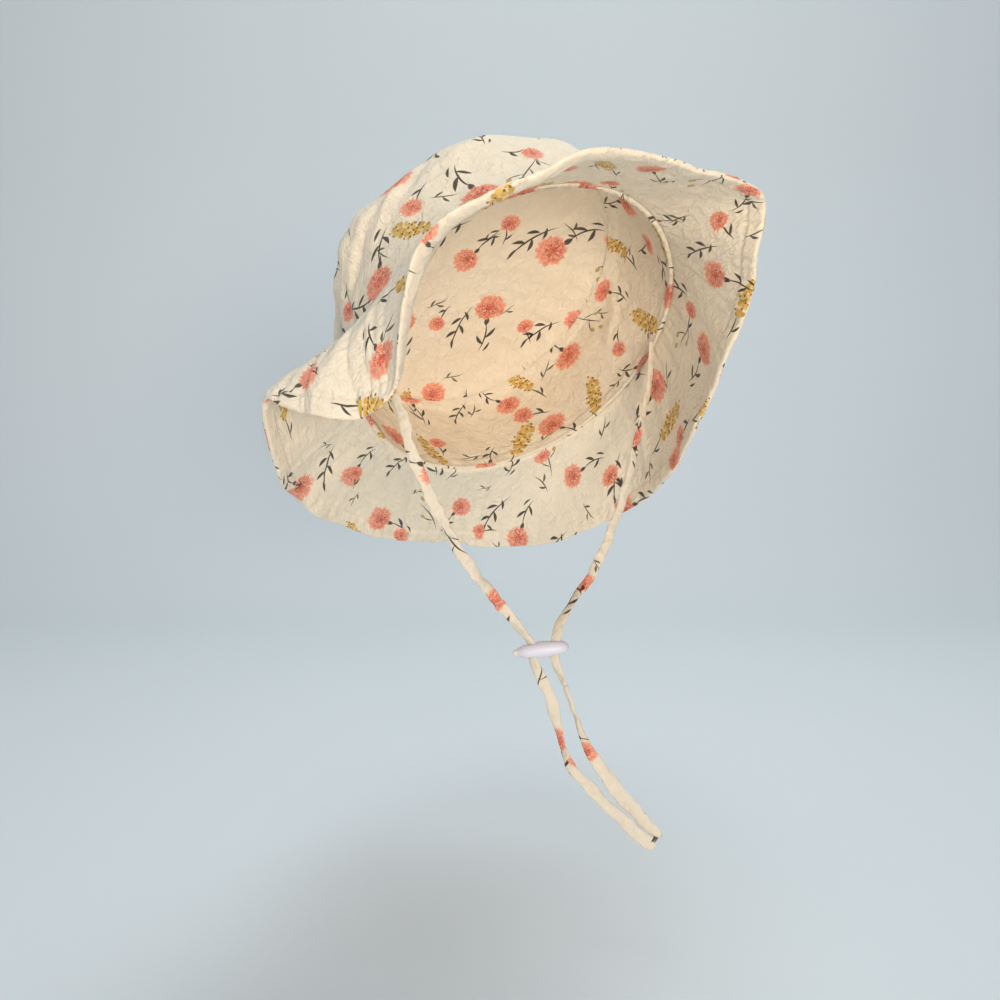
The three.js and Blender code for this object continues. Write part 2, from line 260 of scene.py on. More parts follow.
# crown face with its creases and waves, which fade towards the middle of the tip
def crownFace(angle, level):
    points = crownShape(angle, level)
    distance = level * crown["profileLength"]
    fade = np.clip((1 - level) * crown["tipFade"], 0, 1)
    lift = clothCreases(angle, distance, crown["creases"], crown["creasePerDegree"])
    lift = lift + clothWaves(angle, distance, crown["waves"])
    lift = lift * fade * np.clip(distance / crown["smoothRim"], crown["leastLift"], 1)
    return points + gridNormals(points) * lift[..., None]


brim = {
    "wall": 1.5,
    # angle and half thickness of the hem roll
    "hemPuff": [
        (0, 1.05), (30, 1.1), (90, 1.1), (180, 1.1), (250, 1.2), (270, 1.3), (288, 1.2), (306, 1.0),
        (340, 1.0),
    ],
    "hemDepth": 7.4,
    "hemFlatness": 6,
    "hemLumps": 0.35,
    "edgeRound": 0.6,
    # depth, place beyond the roll and width of the stitched groove
    "groove": (0.42, 0.5, 0.7),
    "flatInner": 76.0,
    "flatWidth": 53.0,
    "seamTuck": 1.2,
    "curlBegin": 0.86,
    # angle, out, lift, swing, belly and hem curl of each section from the rim to the hem
    "sections": [
        (0, 35.5, -38.5, -8, 1, 1.6), (14, 33.5, -38.5, -10, 0, 0), (24, 36, -39.5, -11, 0, 0),
        (33, 36.5, -40, -10, 0, 0), (45, 20, -48, -16, -1, 0), (60, 5, -54, -18, 0, 0),
        (86, -12, -59, -2, 3, 0), (105, 3, -50, 17, 4, 0), (132, 38, -26, 26, 4, 0),
        (165, 60, -4, 4, 4, 0), (195, 56, 6, -24, 3, 0), (214, 51.5, 6.2, -29, 3, 0),
        (230, 46, 2, -26, 3, 0), (243, 43, -10, -19, 4, 0), (253, 41, -16, -8, 6, 0),
        (262, 42, -18, 3, 7, 0), (270, 39, -30, -4, 7, 0), (283, 25, -48, -18, 6, 0),
        (296, 10, -54, -26, 4, .8), (305, 6.5, -54, -26, 2, 2), (319, 23, -48.5, -23.5, 2, 4),
        (325, 30, -45, -23.5, 2, 4.8), (332, 35, -45, -22.5, 2, 4.4), (346, 37, -46, -19, 2, 3.4),
        (353, 39.5, -42, -14, 1.5, 2.6),
    ],
    # angle, spread, depth and beginning of each soft pleat
    "pleats": [
        (8, 5, 0.6, .1), (20, 5, -0.2, .1), (52, 6, 2, .1), (70, 7, -2.2, .1), (120, 8, 3, .1),
        (148, 9, -3, .1), (180, 9, 3, .1), (216, 5, 1.3, 0), (227, 4.5, -2.4, 0), (237, 4.5, 2.4, 0),
        (247, 4, -2.2, 0), (274, 3.5, -2.2, 0), (281, 3.5, 2.2, 0), (290, 4, -2, 0),
    ],
    # angle, distance from the rim, slant, length, spread and depth of each crease
    "creases": [
        (276, 26, 12, 20, 1.6, 1.1), (286, 30, 16, 22, 1.5, -1.0), (292, 24, 18, 18, 1.4, 0.9),
        (298, 30, 10, 18, 1.5, -0.8), (268, 30, 4, 18, 1.8, -0.9), (256, 28, -6, 18, 1.8, 0.9),
        (232, 30, 4, 20, 1.6, 0.8), (222, 34, -4, 18, 1.6, -0.8), (242, 30, 6, 20, 1.5, -0.8),
        (28, 26, -14, 16, 1.6, 0.7), (40, 30, -10, 18, 1.6, -0.8), (58, 28, 12, 20, 1.7, 0.8),
        (4, 20, -10, 14, 1.5, -0.6), (345, 22, 14, 14, 1.5, 0.6), (325, 24, 16, 16, 1.6, -0.6),
        (112, 28, 8, 20, 1.8, -0.9), (140, 28, -8, 20, 1.8, 0.9), (172, 30, 6, 20, 1.8, -0.9),
        (200, 28, -6, 20, 1.8, 0.9),
    ],
    "waves": {"seed": 23, "count": 24, "fewest": 20, "most": 70, "reach": 30.0, "depth": 0.22},
    "puckers": {"seed": 5, "count": 14, "fewest": 70, "most": 150, "reach": 26.0, "depth": 0.24},
    "creasePerDegree": 1.6,
    "smoothSeam": 10.0,
    "seamPuckers": (3.0, 9.0),  # where they begin and how far they reach
    "hemPuckers": (6.0, 5.0),  # middle from the edge and reach
    "columns": 640,
    "tuckedRows": [-0.02, -0.01],
    "rows": 34,
    "hemRows": 22,
    "hemRowBend": 1.4,
    "underFabric": (37, 21),
}


# brim middle face: a straight section from rim to hem, rounded by belly, curl, pleats, creases and waves
def brimFace(angle, share):
    turn = np.radians(angle)
    sine = np.sin(turn)
    cosine = np.cos(turn)
    outLength = np.hypot(sine / hatPose["halfWidth"], cosine / hatPose["halfDepth"])
    outRight = sine / hatPose["halfWidth"] / outLength
    outFront = cosine / hatPose["halfDepth"] / outLength
    at, *columns = zip(*brim["sections"])
    out, lift, swing, belly, curl = [smoothColumn(at, column, angle, 360) for column in columns]
    hemShare = np.maximum(0, (share - brim["curlBegin"]) / (1 - brim["curlBegin"]))
    rise = belly * 4 * share * (1 - share) + curl * hemShare ** 2
    for atAngle, spread, depth, begin in brim["pleats"]:
        growth = np.maximum(0, (share - begin) / (1 - begin))
        rise = rise + depth * growth * np.exp(-(turnBetween(atAngle, angle) / spread) ** 2)
    distance = share * brim["flatWidth"]
    fine = clothCreases(angle, distance, brim["creases"], brim["creasePerDegree"])
    fine = fine + clothWaves(angle, distance, brim["waves"])
    fine = fine * np.clip(distance / brim["smoothSeam"], 0, 1)
    seamBegin, seamReach = brim["seamPuckers"]
    hemMiddle, hemReach = brim["hemPuckers"]
    nearSeam = np.exp(-(distance / seamReach) ** 2) * np.clip(distance / seamBegin, 0, 1)
    nearHem = np.exp(-((distance - brim["flatWidth"] + hemMiddle) / hemReach) ** 2)
    rise = rise + fine + clothWaves(angle, distance, brim["puckers"]) * (nearSeam + nearHem)
    chord = np.hypot(out, lift)
    sideways = out * share - rise * lift / chord
    upwards = lift * share + rise * out / chord
    return fromRim(
        hatPose["halfWidth"] * sine + outRight * sideways + outFront * swing * share,
        hatPose["halfDepth"] * cosine + outFront * sideways - outRight * swing * share,
        upwards)


# half thickness of the brim: a thin wall, a stitched groove and a flat, round-edged roll along the hem
def brimHalf(angle, distance):
    lump = 1 + brim["hemLumps"] * clothWaves(angle, distance, {**brim["puckers"], "seed": 8})
    middle = brim["hemDepth"] / 2
    puffAt, puffs = zip(*brim["hemPuff"])
    profile = np.sqrt(np.clip(1 - np.abs(distance / middle - 1) ** brim["hemFlatness"], 0, 1))
    roll = smoothColumn(puffAt, puffs, angle, 360) * lump * profile
    grooveDepth, grooveBeyond, grooveWidth = brim["groove"]
    groove = grooveDepth * np.exp(-((distance - brim["hemDepth"] - grooveBeyond) / grooveWidth) ** 2)
    plain = (brim["wall"] / 2 - groove) * np.sqrt(np.clip(distance / brim["edgeRound"], 0, 1))
    return np.maximum(roll, plain)


# ring of cloth with two faces: rows go out along one face, round the edge and back along the other
def clothRing(name, middle, outer, inner, outerFabric, innerFabric, edge):
    columns, count = middle.shape[:2]
    normals = gridNormals(middle)
    front = middle + normals * outer[..., None]
    back = middle + normals * inner[..., None]
    points = np.concatenate([front, back[:, -2::-1]], axis=1)
    rows = points.shape[1]
    cornerColumns, cornerRows, faceRow = gridFaces(columns, rows, True)
    faces = (cornerColumns % columns) * rows + cornerRows
    shareOf = np.concatenate([np.arange(count), np.arange(count - 2, -1, -1)])
    outerPlace = outerFabric[cornerColumns, shareOf[cornerRows]]
    innerPlace = innerFabric[cornerColumns, shareOf[cornerRows]]
    fabric = np.where((faceRow < count - 1)[:, None, None], outerPlace, innerPlace)
    firstStep = innerFabric[:, 0] - innerFabric[:, 1]
    pastEdge = innerFabric[:, 0] + firstStep / np.linalg.norm(firstStep, axis=-1, keepdims=True) * edge
    onEdge = ((faceRow == rows - 1)[:, None] & (cornerRows == 0))[..., None]
    fabric = np.where(onEdge, pastEdge[cornerColumns], fabric)
    return addPiece(name, points.reshape(-1, 3), faces.tolist(), fabric * mm)


# way along a face from its first row to each row, averaged over the columns
def wayAlong(face):
    steps = np.linalg.norm(np.diff(face, axis=1), axis=-1).mean(axis=0)
    return np.concatenate([[0], np.cumsum(steps)])


# flat fabric of a ring: each row's radius carried round once, with the first column repeated at the end
def flatDisc(columns, radius):
    turn = np.radians(np.arange(columns + 1) * 360 / columns)[:, None]
    return np.stack([radius * np.sin(turn), radius * np.cos(turn)], axis=-1)


# brim: rows lie closer together towards the hem, and each face's fabric is as long as the face itself
def makeBrim():
    columns = brim["columns"]
    begin = brim["curlBegin"]
    plainRows = np.linspace(0, begin, brim["rows"], endpoint=False)
    hemRows = 1 - (1 - begin) * np.linspace(1, 0, brim["hemRows"]) ** brim["hemRowBend"]
    shares = np.concatenate([brim["tuckedRows"], plainRows, hemRows])
    angle, share = np.meshgrid(np.arange(columns) * 360 / columns, shares, indexing="ij")
    middle = brimFace(angle, share)
    distance = (1 - share) * brim["flatWidth"]
    half = brimHalf(angle, distance)
    tucked = np.maximum(0, -share) * brim["flatWidth"]  # the seam edge slopes in under the band
    outer = half - brim["seamTuck"] * tucked
    normals = gridNormals(middle)
    upper = flatDisc(columns, brim["flatInner"] + wayAlong(middle + normals * outer[..., None]))
    under = flatDisc(columns, brim["flatInner"] + wayAlong(middle - normals * half[..., None]))
    under = under * (-1, 1) + brim["underFabric"]
    return clothRing("brimCloth", middle, outer, -half, upper, under, brim["wall"])


# a dip and puckers along a seam: both are bells of the distance from it
def seamFall(angle, distance, dip, reach, along):
    depth, width = dip
    pucker = clothWaves(angle, along, {**brim["puckers"], "seed": 31})
    puckered = pucker * np.exp(-(distance / reach) ** 2) * crown["puckerShare"]
    return puckered - depth * np.exp(-(distance / width) ** 2)


# seam allowance: a step that ends softly at its width
def allowanceAt(distance):
    thick, width, softness = crown["allowance"]
    return thick / (1 + np.exp((distance - width) / softness))


# crown band: a strip whose edges turn in at both seams, with the seam allowance doubled inside
def makeBand():
    columns = crown["columns"]
    levels = np.linspace(0, crown["tipSeam"] + crown["seamLap"], crown["bandRows"])
    angle, level = np.meshgrid(np.arange(columns) * 360 / columns, levels, indexing="ij")
    face = crownFace(angle, level)
    fromRimEdge = level * crown["profileLength"]
    fromTipEdge = (crown["tipSeam"] - level) * crown["profileLength"]
    outer = seamFall(angle, fromRimEdge, crown["rimDip"], crown["rimPuckers"], fromRimEdge)
    outer = outer + seamFall(angle, fromTipEdge, crown["tipDip"], crown["tipPuckers"], fromRimEdge)
    inner = outer - crown["wall"] - allowanceAt(fromRimEdge) - allowanceAt(fromTipEdge)
    alongStrip = (np.arange(columns + 1) * crown["stripLength"] / columns)[:, None]
    upStrip = levels[None, :] * crown["profileLength"]
    strip = np.stack(np.broadcast_arrays(alongStrip, upStrip), axis=-1)
    outside = strip + crown["bandOutside"]
    inside = strip * (-1, 1) + crown["bandInside"]
    edge = crown["wall"] + crown["allowance"][0]
    return clothRing("bandCloth", face, outer, inner, outside, inside, edge)


# length of the crown's profile from the middle of the tip out to each level, by small steps
def profileFromMiddle(levels):
    fine = np.linspace(1, 0, 400)
    height = smoothColumn(crown["levels"], crown["heights"], fine)
    reach = smoothColumn(crown["levels"], crown["insets"], fine) * crown["ovalStretch"]
    steps = np.hypot(np.diff(height), np.diff(reach))
    walked = np.concatenate([[0], np.cumsum(steps)])
    return np.interp(-levels, -fine, walked)


# crown tip: the same face from its seam to the middle, both faces closed by a fan of triangles
def makeTip():
    columns = crown["columns"]
    levels = np.linspace(crown["tipSeam"] - crown["seamLap"], crown["tipReach"], crown["tipRows"])
    angle, level = np.meshgrid(np.arange(columns) * 360 / columns, levels, indexing="ij")
    face = crownFace(angle, level)
    fromTipEdge = (level - crown["tipSeam"]) * crown["profileLength"]
    outer = seamFall(angle, fromTipEdge, crown["tipDip"], crown["tipPuckers"], fromTipEdge)
    inner = outer - crown["wall"]
    normals = gridNormals(face)
    front = face + normals * outer[..., None]
    back = face + normals * inner[..., None]
    count = len(levels)
    points = np.concatenate([front, back[:, ::-1]], axis=1)
    rows = points.shape[1]
    cornerColumns, cornerRows, faceRow = gridFaces(columns, rows, True)
    keep = faceRow != count - 1
    cornerColumns = cornerColumns[keep]
    cornerRows = cornerRows[keep]
    faces = ((cornerColumns % columns) * rows + cornerRows).tolist()
    disc = flatDisc(columns, profileFromMiddle(levels)) + crown["tipFabric"]
    shareOf = np.concatenate([np.arange(count), np.arange(count - 1, -1, -1)])
    fabric = disc[cornerColumns, shareOf[cornerRows]]
    middleTop = crownShape(np.zeros(1), np.ones(1))
    middleLow = middleTop - crownAxis * crown["wall"]
    allPoints = np.concatenate([points.reshape(-1, 3), middleTop, middleLow])
    column = np.arange(columns)
    nextColumn = (column + 1) % columns
    topFan = np.stack([column * rows + count - 1, nextColumn * rows + count - 1,
                       np.full(columns, len(allPoints) - 2)], axis=-1)
    lowFan = np.stack([nextColumn * rows + count, column * rows + count,
                       np.full(columns, len(allPoints) - 1)], axis=-1)
    ring = disc[:, -1]
    hub = np.broadcast_to(crown["tipFabric"], (columns, 2))
    topFabric = np.stack([ring[:-1], ring[1:], hub], axis=1)
    lowFabric = np.stack([ring[1:], ring[:-1], hub], axis=1)
    fabricAll = np.concatenate([fabric.reshape(-1, 2), topFabric.reshape(-1, 2), lowFabric.reshape(-1, 2)])
    return addPiece("tipCloth", allPoints, faces + topFan.tolist() + lowFan.tolist(), fabricAll * mm)


brimCloth = makeBrim()
bandCloth = makeBand()
tipCloth = makeTip()
print("hat: crown and brim", *[len(cloth.data.polygons) for cloth in (brimCloth, bandCloth, tipCloth)])


strap = {
    "width": 4.5,
    "thick": 1.4,
    "sides": 24,
    "step": 0.9,
    "printScale": 0.88,
    "printColumn": 15.5 / 0.88,  # middle of a column of motifs at the strap's print scale
    "left": [
        (-62, -18.5, -81), (-60.5, -31.5, -86), (-56.5, -44.5, -93), (-50.5, -54.5, -99.5),
        (-47.5, -56.5, -106), (-43.5, -57.5, -121), (-37, -55.5, -138), (-30.5, -51.5, -152.5),
        (-24, -46.5, -165), (-18, -42.5, -174), (-8.5, -36.5, -187.5), (-1, -32, -198), (2.2, -30.3, -203),
        (2.8, -30, -208.5), (4.5, -30.3, -213.5), (10, -31.5, -225), (14, -32.5, -240.5),
        (18.5, -34.5, -253.5), (26.5, -35.5, -262.5), (39, -37.5, -275), (48, -38.5, -283),
        (53, -39.5, -286.5),
    ],
    "right": [
        (58, 42, -83), (56.1, 34, -101.8), (50.6, 24, -123.3), (44.3, 13, -145.4), (36.2, 2.5, -165.4),
        (28.4, -6, -179.8), (21.7, -14, -186.9), (15, -24, -195), (12.1, -29.7, -201.5), (12, -30, -208.5),
        (13.3, -30.2, -214), (17, -30, -223), (21.2, -30.5, -235.5), (25.6, -31.5, -246.5),
        (32.8, -32.5, -257.7), (41, -34.7, -268.1), (49.4, -36.8, -277), (55.4, -38.6, -282.6),
    ],
    # share of the length and width there as a share of the full width
    "leftSpread": [
        (0, 1), (.58, 1), (.64, .95), (.68, 1), (.72, 1.12), (.775, .78), (.82, .95), (.92, 1.1),
        (.97, 1.3), (1, 1.15),
    ],
    "rightSpread": [
        (0, .95), (.5, .9), (.6, .9), (.66, .9), (.70, .66), (.76, .68), (.83, 1.1), (.91, 1.4),
        (.97, 1.1), (1, .85),
    ],
    # share of the length and twist in degrees of the flat side away from the front
    "leftTwist": [
        (0, 60), (.12, 50), (.2, 30), (.27, 10), (.33, -8), (.38, 34), (.43, 4), (.48, -40), (.53, -6),
        (.58, 38), (.63, 46), (.68, 8), (.74, 20), (.79, 52), (.83, 10), (.88, -24), (.94, 14), (1, 4),
    ],
    "rightTwist": [
        (0, -60), (.15, -52), (.3, -30), (.42, -8), (.48, 30), (.53, 62), (.58, 34), (.63, 20), (.69, 56),
        (.75, 62), (.8, 28), (.86, -14), (.92, 12), (1, 6),
    ],
    "front": np.array([0.0, -1.0, 0.12]),
    "waveCount": 9,
    "lumpWaves": (5, 22),  # shortest and longest wave
    "swayWaves": (9, 24),
    "lumpWide": 0.16,
    "lumpDeep": 0.3,
    "sway": 0.35,
    "stillStart": 20.0,
    "stillEnd": 12.0,
    "endLength": 1.6,
    "endWide": 0.25,
    "squareness": 0.7,
    "fullEdge": 0.35,
    "fullEdgeTurn": 2.5,
    "seedStep": 5.0,  # shift of the print along a strand for each step of its seed
    "girthShare": 0.8,
    "calmHeight": -205.6,  # the strands lie calm in the toggle
    "calmReach": 6.0,
}


# even points along a smooth curve through the route, by the length walked
def walkRoute(route, step):
    route = np.array(route, float)
    chord = np.concatenate([[0], np.cumsum(np.linalg.norm(np.diff(route, axis=0), axis=1))])
    dense = np.linspace(0, chord[-1], 3000)
    curve = np.stack([smoothColumn(chord, route[:, axis], dense) for axis in range(3)], axis=-1)
    walked = np.concatenate([[0], np.cumsum(np.linalg.norm(np.diff(curve, axis=0), axis=1))])
    even = np.linspace(0, walked[-1], int(walked[-1] / step) + 1)
    return np.stack([np.interp(even, walked, curve[:, axis]) for axis in range(3)], axis=-1), walked[-1]


# one slow sine wave along the strand with a random length and phase
def strandWave(walked, chance, lengths):
    return np.sin(walked * 2 * math.pi / chance.uniform(*lengths) + chance.uniform(0, 6.28)) / 4


# strand: a flat rounded section carried along the walked route, twisted by its table, drawn in at its end
def makeStrand(name, hand, seed, printColumn):
    path, length = walkRoute(strap[hand], strap["step"])
    rings = len(path)
    share = np.linspace(0, 1, rings)
    tangent = np.gradient(path, axis=0)
    tangent = tangent / np.linalg.norm(tangent, axis=1, keepdims=True)
    across = np.cross(strap["front"], tangent)
    across = across / np.linalg.norm(across, axis=1, keepdims=True)
    facing = np.cross(tangent, across)
    at, degreesAt = zip(*strap[hand + "Twist"])
    angle = np.radians(smoothColumn(at, degreesAt, share))[:, None]
    wide = across * np.cos(angle) + facing * np.sin(angle)
    deep = facing * np.cos(angle) - across * np.sin(angle)
    chance = np.random.default_rng(seed)
    walked = share * length
    lump = np.zeros(rings)
    sway = np.zeros(rings)
    for count in range(strap["waveCount"]):
        lump = lump + strandWave(walked, chance, strap["lumpWaves"])
        sway = sway + strandWave(walked, chance, strap["swayWaves"])
    loose = 1 - np.exp(-((path[:, 2] - strap["calmHeight"]) / strap["calmReach"]) ** 2)
    lump = lump * loose
    sway = sway * loose * np.clip(walked / strap["stillStart"], 0, 1)
    sway = sway * np.clip((length - walked) / strap["stillEnd"], 0, 1)
    endDraw = np.sqrt(np.clip((length - walked + strap["endWide"]) / strap["endLength"], 0, 1))
    sides = strap["sides"]
    side = np.arange(sides) * 2 * math.pi / sides
    cosine = np.cos(side)
    sine = np.sign(np.sin(side)) * np.abs(np.sin(side)) ** strap["squareness"]
    at, spreadAt = zip(*strap[hand + "Spread"])
    halfWide = strap["width"] / 2 * smoothColumn(at, spreadAt, share)
    halfWide = halfWide * (1 + strap["lumpWide"] * lump) * endDraw
    halfDeep = strap["thick"] / 2 * (1 - strap["lumpDeep"] * lump) * endDraw
    # one edge is fuller than the other
    puff = 1 + strap["fullEdge"] * np.sin(side + lump[:, None] * strap["fullEdgeTurn"])
    bent = path + wide * (strap["sway"] * sway)[:, None]
    points = (bent[:, None] + wide[:, None] * (halfWide[:, None] * cosine)[..., None]
              + deep[:, None] * (halfDeep[:, None] * sine * puff)[..., None])
    ring = np.repeat(np.arange(rings - 1), sides)
    spot = np.tile(np.arange(sides), rings - 1)
    nextSpot = (spot + 1) % sides
    faces = np.stack([ring * sides + spot, ring * sides + nextSpot,
                      (ring + 1) * sides + nextSpot, (ring + 1) * sides + spot], axis=-1)
    girth = 2 * (strap["width"] + strap["thick"]) * strap["girthShare"]
    fabricX = np.stack([spot, spot + 1, spot + 1, spot], axis=-1) * girth / sides
    fabricY = np.stack([ring, ring, ring + 1, ring + 1], axis=-1) * length / (rings - 1)
    fabricY = fabricY + seed * strap["seedStep"]
    fabric = np.stack([fabricX + printColumn - girth / 4, fabricY], axis=-1).reshape(-1, 2)
    caps = [list(range(sides))[::-1], [(rings - 1) * sides + s for s in range(sides)]]
    capFabric = np.zeros((2 * sides, 2))
    piece = addPiece(name, points.reshape(-1, 3), faces.tolist() + caps,
                     np.concatenate([fabric, capFabric]) * mm)
    return piece, path, length


strandLeft, pathLeft, lengthLeft = makeStrand("strandLeft", "left", 3, strap["printColumn"])
strandRight, pathRight, lengthRight = makeStrand("strandRight", "right", 7, strap["printColumn"] * 5)
print("hat: strap strands", round(lengthLeft), round(lengthRight), "mm")


toggle = {
    "centre": np.array([7.3, -29.8, -205.6]),
    "tilt": math.radians(7),
    "lean": math.radians(-14),
    "deepRatio": 1.45,
    "holeSpacing": 9.5,
    "holeWide": 5.8,
    "holeDeep": 6.6,
    "along": [-12.6, -12.5, -12.0, -10.8, -9.9, -9.0, -7.6, -5, 0, 5, 7.6, 9.2, 10.0, 10.25, 10.3],
    "radius": [0.02, .75, 1.1, 1.3, 1.75, 2.35, 2.95, 3.35, 3.5, 3.35, 2.95, 2.15, 1.25, 0.65, 0.02],
    "smoothWithin": 9.5,  # the ends beyond this keep their turned edges
    "rows": 90,
    "endRows": 8,
    "endsFrom": (-12.0, 9.9),  # closer rows from here to the two ends
    "sides": 56,
    "holeSides": 40,
    "drillReach": 6.0,
    "sharpEdge": math.radians(50),
    "noseEnd": 9.4,
}


# turned body: radius along the axis carried round it, deeper than it is tall, with flat ends closed
def turnedBody(along, radius, sides, deepRatio):
    turn = np.arange(sides)[:, None] * 2 * math.pi / sides
    x = np.broadcast_to(along, (sides, len(along)))
    y = np.cos(turn) * radius * deepRatio
    z = np.sin(turn) * radius
    points = np.stack([x, y, z], axis=-1)
    rows = len(along)
    cornerColumns, cornerRows, faceRow = gridFaces(sides, rows, False)
    faces = ((cornerColumns % sides) * rows + cornerRows)[:, ::-1].tolist()
    faces.append([s * rows for s in range(sides)])
    faces.append([s * rows + rows - 1 for s in range(sides)][::-1])
    return points.reshape(-1, 3), faces


# slider: a turned oval with two upright oval holes cut through it, then set in its place
def makeToggle():
    first = toggle["along"][0]
    last = toggle["along"][-1]
    dense = np.linspace(first, last, toggle["rows"])
    noseRows = np.linspace(first, toggle["endsFrom"][0], toggle["endRows"])
    farRows = np.linspace(toggle["endsFrom"][1], last, toggle["endRows"])
    dense = np.sort(np.concatenate([dense, noseRows, farRows]))
    radius = np.interp(dense, toggle["along"], toggle["radius"])
    smooth = np.convolve(np.pad(radius, 2, mode="edge"), np.ones(5) / 5, mode="valid")
    radius = np.where(np.abs(dense) < toggle["smoothWithin"], smooth, radius)
    radius = np.maximum(radius, toggle["radius"][0])
    points, faces = turnedBody(dense, radius, toggle["sides"], toggle["deepRatio"])
    body = addPiece("toggleSlider", points, faces)
    sides = toggle["holeSides"]
    turn = np.arange(sides) * 2 * math.pi / sides
    for side in (-1, 1):
        x = side * toggle["holeSpacing"] / 2 + toggle["holeWide"] / 2 * np.cos(turn)
        y = toggle["holeDeep"] / 2 * np.sin(turn)
        low = np.stack([x, y, np.full(sides, -toggle["drillReach"])], axis=-1)
        walls = [[s, (s + 1) % sides, sides + (s + 1) % sides, sides + s] for s in range(sides)]
        ends = [list(range(sides))[::-1], list(range(sides, 2 * sides))]
        drill = addPiece("toggleDrill", np.concatenate([low, low * (1, 1, -1)]), walls + ends)
        cut = body.modifiers.new("hole", "BOOLEAN")
        cut.operation = "DIFFERENCE"
        cut.solver = "EXACT"
        cut.object = drill
        cutMesh = bpy.data.meshes.new_from_object(body.evaluated_get(bpy.context.evaluated_depsgraph_get()))
        body.modifiers.clear()
        body.data = cutMesh
        bpy.data.objects.remove(drill)
    work = bmesh.new()
    work.from_mesh(body.data)
    bmesh.ops.remove_doubles(work, verts=work.verts, dist=1e-6)
    bmesh.ops.recalc_face_normals(work, faces=work.faces)
    work.to_mesh(body.data)
    work.free()
    places = np.empty(len(body.data.vertices) * 3, np.float32)
    body.data.vertices.foreach_get("co", places)
    x, y, z = places.reshape(-1, 3).astype(float).T
    cosine = math.cos(toggle["tilt"])
    sine = math.sin(toggle["tilt"])
    leanCosine = math.cos(toggle["lean"])
    leanSine = math.sin(toggle["lean"])
    leantY = y * leanCosine - z * leanSine
    leantZ = y * leanSine + z * leanCosine
    turned = np.stack([x * cosine - leantZ * sine, leantY, x * sine + leantZ * cosine], axis=-1)
    turned = turned + toggle["centre"] * mm
    body.data.vertices.foreach_set("co", turned.astype(np.float32).ravel())
    body.data.update()
    body.data.set_sharp_from_angle(angle=toggle["sharpEdge"])
    return body


toggleSlider = makeToggle()
print("hat: toggle")


thread = {
    "pitch": 2.5,
    "length": 1.75,
    "radius": 0.17,
    "hemLine": 7.9,
    "sides": 6,
    # place along the stitch, thickness and sink of each ring, as shares of the half length and the radius
    "rings": [(-1, 0.25, -1.6), (-0.8, 0.85, -0.5), (0, 1, 0.35), (0.8, 0.85, -0.5), (1, 0.25, -1.6)],
    "columns": 1200,
    "rowStep": 0.004,
    "proud": 0.12,
    "aimAhead": 0.4,
}


# values of a table of three columns at places along its way
def alongWay(at, walked, table):
    return np.stack([np.interp(at, walked, table[:, axis]) for axis in range(3)], axis=-1)


# stitches: one small rounded rod per pitch, laid round a closed line of points on its surface normals
def makeStitches(name, line, normals):
    loop = np.concatenate([line, line[:1]])
    loopNormals = np.concatenate([normals, normals[:1]])
    steps = np.linalg.norm(np.diff(loop, axis=0), axis=1)
    walked = np.concatenate([[0], np.cumsum(steps)])
    count = int(walked[-1] / thread["pitch"])
    at = (np.arange(count) + 0.5) * walked[-1] / count
    place = alongWay(at, walked, loop)
    ahead = alongWay(at + thread["aimAhead"], walked, loop)
    up = alongWay(at, walked, loopNormals)
    along = ahead - place
    along = along / np.linalg.norm(along, axis=1, keepdims=True)
    aside = np.cross(up, along)
    aside = aside / np.linalg.norm(aside, axis=1, keepdims=True)
    sides = thread["sides"]
    rings = np.array(thread["rings"])
    turn = np.arange(sides) * 2 * math.pi / sides
    x = np.repeat(rings[:, 0] * thread["length"] / 2, sides)
    y = (rings[:, 1:2] * np.cos(turn) * thread["radius"]).ravel()
    z = ((rings[:, 1:2] * np.sin(turn) + rings[:, 2:]) * thread["radius"]).ravel()
    points = (place[:, None] + along[:, None] * x[None, :, None] + aside[:, None] * y[None, :, None]
              + up[:, None] * z[None, :, None])
    ring = np.repeat(np.arange(len(rings) - 1), sides)
    spot = np.tile(np.arange(sides), len(rings) - 1)
    nextSpot = (spot + 1) % sides
    quads = np.stack([ring * sides + spot, (ring + 1) * sides + spot, (ring + 1) * sides + nextSpot,
                      ring * sides + nextSpot], axis=-1)
    faces = (np.arange(count)[:, None, None] * len(rings) * sides + quads[None]).reshape(-1, 4)
    return addPiece(name, points.reshape(-1, 3), faces.tolist())


# hem topstitch: a line of stitches round one face, in the groove beside the roll
def makeHemStitches(name, side):
    columns = thread["columns"]
    shares = 1 - thread["hemLine"] / brim["flatWidth"] + np.array([-1, 0, 1]) * thread["rowStep"]
    angle, shareGrid = np.meshgrid(np.arange(columns) * 360 / columns, shares, indexing="ij")
    middle = brimFace(angle, shareGrid)
    normal = gridNormals(middle)[:, 1] * side
    half = brimHalf(angle, (1 - shareGrid) * brim["flatWidth"])[:, 1]
    return makeStitches(name, middle[:, 1] + normal * (half + thread["proud"])[:, None], normal)


hemThreadTop = makeHemStitches("hemThreadTop", 1)
hemThreadUnder = makeHemStitches("hemThreadUnder", -1)
print("hat: hem stitches")


endTack = {
    "turns": 3,
    "spacing": 0.42,
    "radius": 0.22,
    "backFromEnd": 1.8,
    "reach": 1.7,
    "deep": strap["thick"] * 0.62 + 0.2,
    "slant": 0.25,
    "steps": 48,
    "sides": 8,
}


